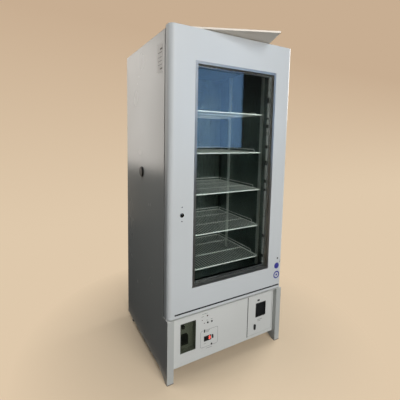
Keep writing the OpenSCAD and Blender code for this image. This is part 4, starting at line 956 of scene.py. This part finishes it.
# Only faces that look sideways take the painted highlight; all other faces stay painted dark as shade.
painted_light_by_facing = maths(tree, "ABSOLUTE", out(tree, "ShaderNodeSeparateXYZ", {"Vector": normal}))
runs = maths(tree, "MULTIPLY", runs, painted_light_by_facing)
feed(tree, shader, Base_Color=blend_colour(tree, runs, linear("#2a2c2b"), linear("#9fa3a0")),
     Normal=bump(tree, noise(tree, place, 4, 2), 0.02))
boxed_piece("pane_spacer", sides, spacer_light_and_shade, "door", "anodised_aluminium", 2)

# %% [markdown]
# ## Threaded feet
# The rear feet screw up and down. The stem's thread is a fine ridge every 1.75 mm, so one ring is
# repeated up the stem by a tree instead of being modelled as a helix, which looks the same at this size.

# %% Feet with threads
feet_high = low_high("rear_feet")[1]
foot_y, foot_out, stem_radius = middle("rear_feet").y, feet_high.x - 20 * MM, 4.6 * MM
stem = [mm(*point) for point in ((0, 0), (17, 0), (20, 2), (20, 5), (12, 8), (6, 9))]
stem += [(stem_radius, 10 * MM), (stem_radius, feet_high.z - 1 * MM), (3.6 * MM, feet_high.z),
         (0, feet_high.z)]
nut = [mm(*point) for point in ((5.5, 0), (8.2, 0), (9, 0.7), (9, 4.2), (8.2, 4.9), (5.5, 4.9))]
shape = bmesh.new()
for side in (-1, 1):
    turned(shape, stem, (side * foot_out, foot_y, 0), (0, 0, 1))
    for nut_base in (45 * MM, 52 * MM):
        turned(shape, nut, (side * foot_out, foot_y, nut_base), (0, 0, 1), 6)
keep_piece("adjusting_feet", shape, dark_steel, "cabinet", "dark_steel", "rear_feet")

# %% [markdown]
# Nineteen ridges make the thread that shows between the foot and the cabinet.

# %% Thread ridges
thread_tree, given = start_tree("thread_ridges", ("Pitch", "Radius"), Count="Int")
ridge_ring = out(thread_tree, "GeometryNodeCurvePrimitiveCircle",
                 {"Resolution": 24, "Radius": given["Radius"]})
ridge_points = row(thread_tree, given["Count"], vector(thread_tree, 0.0, 0.0, given["Pitch"]))
ridges = copies(thread_tree, swept(thread_tree, ridge_ring, 0.5 * MM, 6), ridge_points)
end_tree(thread_tree, given, copies(thread_tree, ridges, given["Geometry"]))
grow("foot_threads", thread_tree, ([(side * foot_out, foot_y, 11 * MM) for side in (-1, 1)], []),
     {"Pitch": 1.75 * MM, "Radius": stem_radius, "Count": 19}, dark_steel, "cabinet", "dark_steel")

# %% [markdown]
# ## Side label
# A blank rating plate is stuck high on the left side: a pale foil with a few ruled lines. Its words are
# left off.

# %% Blank side label
side = Vector((low_high("side_panel_left")[0].x, 0, 0))
label_foil = moulded("polyester_foil_pale", "#c6c6c2", "#bababa", 0.35, 2.0, 0.005)
boxed_piece("side_label", [(side + mm(-0.3, -239, 1434), side + mm(0.2, -169, 1557), 0.12 * MM)],
            label_foil, "cabinet", "painted_steel", 1)
thick_rule, thin_rule = (-232, -206), (-228, -184)
rules = [(side + mm(-0.42, y0, z0), side + mm(-0.2, y1, z1), 0.05 * MM) for z0, z1, (y0, y1) in (
    (1530, 1537, thick_rule), (1518, 1521, thin_rule), (1498, 1500, thin_rule),
    (1482, 1484, thin_rule), (1466, 1468, thin_rule), (1446, 1452, thick_rule))]
boxed_piece("side_label_rules", rules, dark_ink, "cabinet", "dark_plastic", 1)

# %% [markdown]
# ## The studio
# The floor and the wall are one sheet of warm beige card that sweeps up behind the cabinet, so no corner
# shows. Near the legs it is plain card that takes the shadow. Its far part shows its own colour to the
# camera, to mirrors and through glass, whatever the lamps do there, with a painted falloff that darkens it
# higher up the wall. The light that it throws back on the object is a darker grey card's, so that the
# object's own colours aren't tinted beige from below.

# %% Card sweep
def sweep_card(wide=90.0, front=-6.0, foot=2.2, bend=1.4, high=12.0, steps=12):
    outline = [(front, 0.0), (foot, 0.0)]
    for k in range(1, steps + 1):
        angle = math.radians(90 * k / steps)
        outline.append((foot + bend * math.sin(angle), bend - bend * math.cos(angle)))
    outline.append((foot + bend, high))
    shape = bmesh.new()
    edges = [[shape.verts.new((x, y, z)) for x in (-wide / 2, wide / 2)] for y, z in outline]
    for first, second in zip(edges, edges[1:]):
        shape.faces.new((first[0], first[1], second[1], second[0])).smooth = True
    shape.normal_update()
    made = put_in_scene("card_sweep", mesh_of("card_sweep", shape))
    return made

# %% [markdown]
# The card's surface is paper fibre near the cabinet and a glow further out, painted darker higher up as a
# falloff of light. Its material asks which kind of ray arrives, so that the camera, mirrors and glass see
# the beige card while the object gets the light of a darker one.

# %% Card paper
card = sweep_card()
card_paper, tree, shader, place = new_material("paper_card_beige", Roughness=0.9, Specular_IOR_Level=0.2)
fibre = scale_range(tree, noise(tree, place, 30, 3), 0.3, 0.7, 0, 0.15)
paper = blend_colour(tree, fibre, linear("#e4d0b4"), linear("#dfcaad"))
height = add(tree, "ShaderNodeSeparateXYZ", {"Vector": place}).outputs["Z"]
# Painted falloff: the far card's glow darkens from the floor to 3 m up the wall.
wall_glow_painted_falloff = blend_colour(tree, scale_range(tree, height, 0.0, 3.0, 0, 1), linear("#dfc9ac"), linear("#c8ae92"))
shown = out(tree, "ShaderNodeEmission", {"Color": wall_glow_painted_falloff, "Strength": 1.0})
path = add(tree, "ShaderNodeLightPath").outputs
seen = maths(tree, "MAXIMUM", path["Is Camera Ray"], path["Is Glossy Ray"])
seen = maths(tree, "MAXIMUM", seen, path["Is Transmission Ray"])
feed(tree, shader, Base_Color=blend_colour(tree, seen, linear("#423f3c"), paper))
distance = add(tree, "ShaderNodeVectorMath", {0: place}, operation="LENGTH").outputs["Value"]
plain_until, even_from = 0.34, 1.0
far = scale_range(tree, distance, plain_until, even_from, 0.0, 1.0)
mix_surface(tree, maths(tree, "MULTIPLY", seen, far), shader.outputs[0], shown)
card.data.materials.append(card_paper)
print("card sweep made")

# %% [markdown]
# ## Lights
# The lights are soft boxes: a big one above the front with a smaller fill under it, a high one at the
# left that rakes the side panel from above, one behind the left that the top of the side panel mirrors,
# one at the right for the side away from the camera, and a cool one that shows in the glass as a pale
# blue window. The cool one and the one behind are only mirrored, and the fill is the other way round: it
# lights, but no surface mirrors it, or it would stand in the window as a white patch.

# %% Lights
def soft_box(name, at, towards, width, height, watts, colour="#ffffff"):
    data = bpy.data.lights.new(name, "AREA")
    data.shape = "RECTANGLE"
    data.size, data.size_y = width, height
    data.energy = watts
    data.color = linear(colour)[:3]
    made = put_in_scene(name, data)
    made.location = at
    made.rotation_mode = "QUATERNION"
    made.rotation_quaternion = (Vector(towards) - Vector(at)).to_track_quat("-Z", "Y")
    return made


soft_box("key_box", (0.2, -3.6, 3.0), (0, -0.3, 0.9), 2.2, 1.7, 54)
fill_box = soft_box("fill_box", (-0.2, -3.2, 1.25), (0, 0, 0.8), 1.3, 1.3, 52)
window_box = soft_box("window_box", (1.66, -3.0, 1.95), (1.66, 0.0, 1.95), 1.0, 1.9, 26, "#84b2e8")
soft_box("side_box", (-1.25, 0.25, 2.9), (-0.45, 0.05, 1.7), 0.7, 1.4, 21)
wall_box = soft_box("wall_box", (-1.0, 1.86, 1.55), (0.0, 1.86, 1.55), 1.5, 1.50, 15)
soft_box("right_box", (3.0, 0.3, 2.2), (0, 0, 0.7), 1.6, 1.6, 60)
window_box.visible_diffuse = wall_box.visible_diffuse = wall_box.visible_camera = False
fill_box.visible_glossy = False
print("soft boxes placed")

# %% [markdown]
# Black flags stand and lie where the side panel and the glass would mirror the pale floor, as a
# photographer does to keep a tall side and a window from looking flat. They are felt, hidden from the
# camera, from shadow and from diffuse light, so they shade nothing.

# %% Black flags
felt, tree, shader, place = new_material("felt_black", Roughness=1.0, Specular_IOR_Level=0.0)
nap = noise(tree, place, 8, 2)
feed(tree, shader, Base_Color=blend_colour(tree, nap, linear("#060606"), linear("#0d0d0d")))
for name, low, high in (("flag_left", (-0.81, -0.45, 0.0), (-0.80, 2.4, 0.85)),
                        ("flag_floor", (-0.80, -0.45, 0.002), (-0.37, 2.4, 0.006)),
                        ("flag_front_floor", (-0.30, -0.85, 0.002), (1.1, -0.34, 0.006)),
                        ("flag_front", (-0.25, -0.86, 0.0), (1.1, -0.85, 1.06))):
    shape = bmesh.new()
    rounded_box(shape, low, high, 1 * MM, 1)
    flag = put_in_scene(name, mesh_of(name, shape))
    flag.data.materials.append(felt)
    flag.visible_camera = flag.visible_shadow = flag.visible_diffuse = False
print("flags placed")

# %% [markdown]
# The world is a dim grey, so that the soft boxes alone shape the object. Where a view from behind looks
# past the card, the world shows the card's beige instead.

# %% World
world = bpy.data.worlds.new("studio_world")
bpy.context.scene.world = world
world.use_nodes = True
sky = world.node_tree
sky.nodes.clear()
dim = out(sky, "ShaderNodeBackground", {"Color": linear("#3a3b3c"), "Strength": 1.0})
wall = out(sky, "ShaderNodeBackground", {"Color": linear("#cbb296"), "Strength": 1.0})
seen_sky = add(sky, "ShaderNodeLightPath").outputs["Is Camera Ray"]
backdrop = out(sky, "ShaderNodeMixShader", {0: seen_sky, 1: dim, 2: wall})
add(sky, "ShaderNodeOutputWorld", {"Surface": backdrop})
bpy.context.scene.view_settings.view_transform = "Standard"
print("world made")
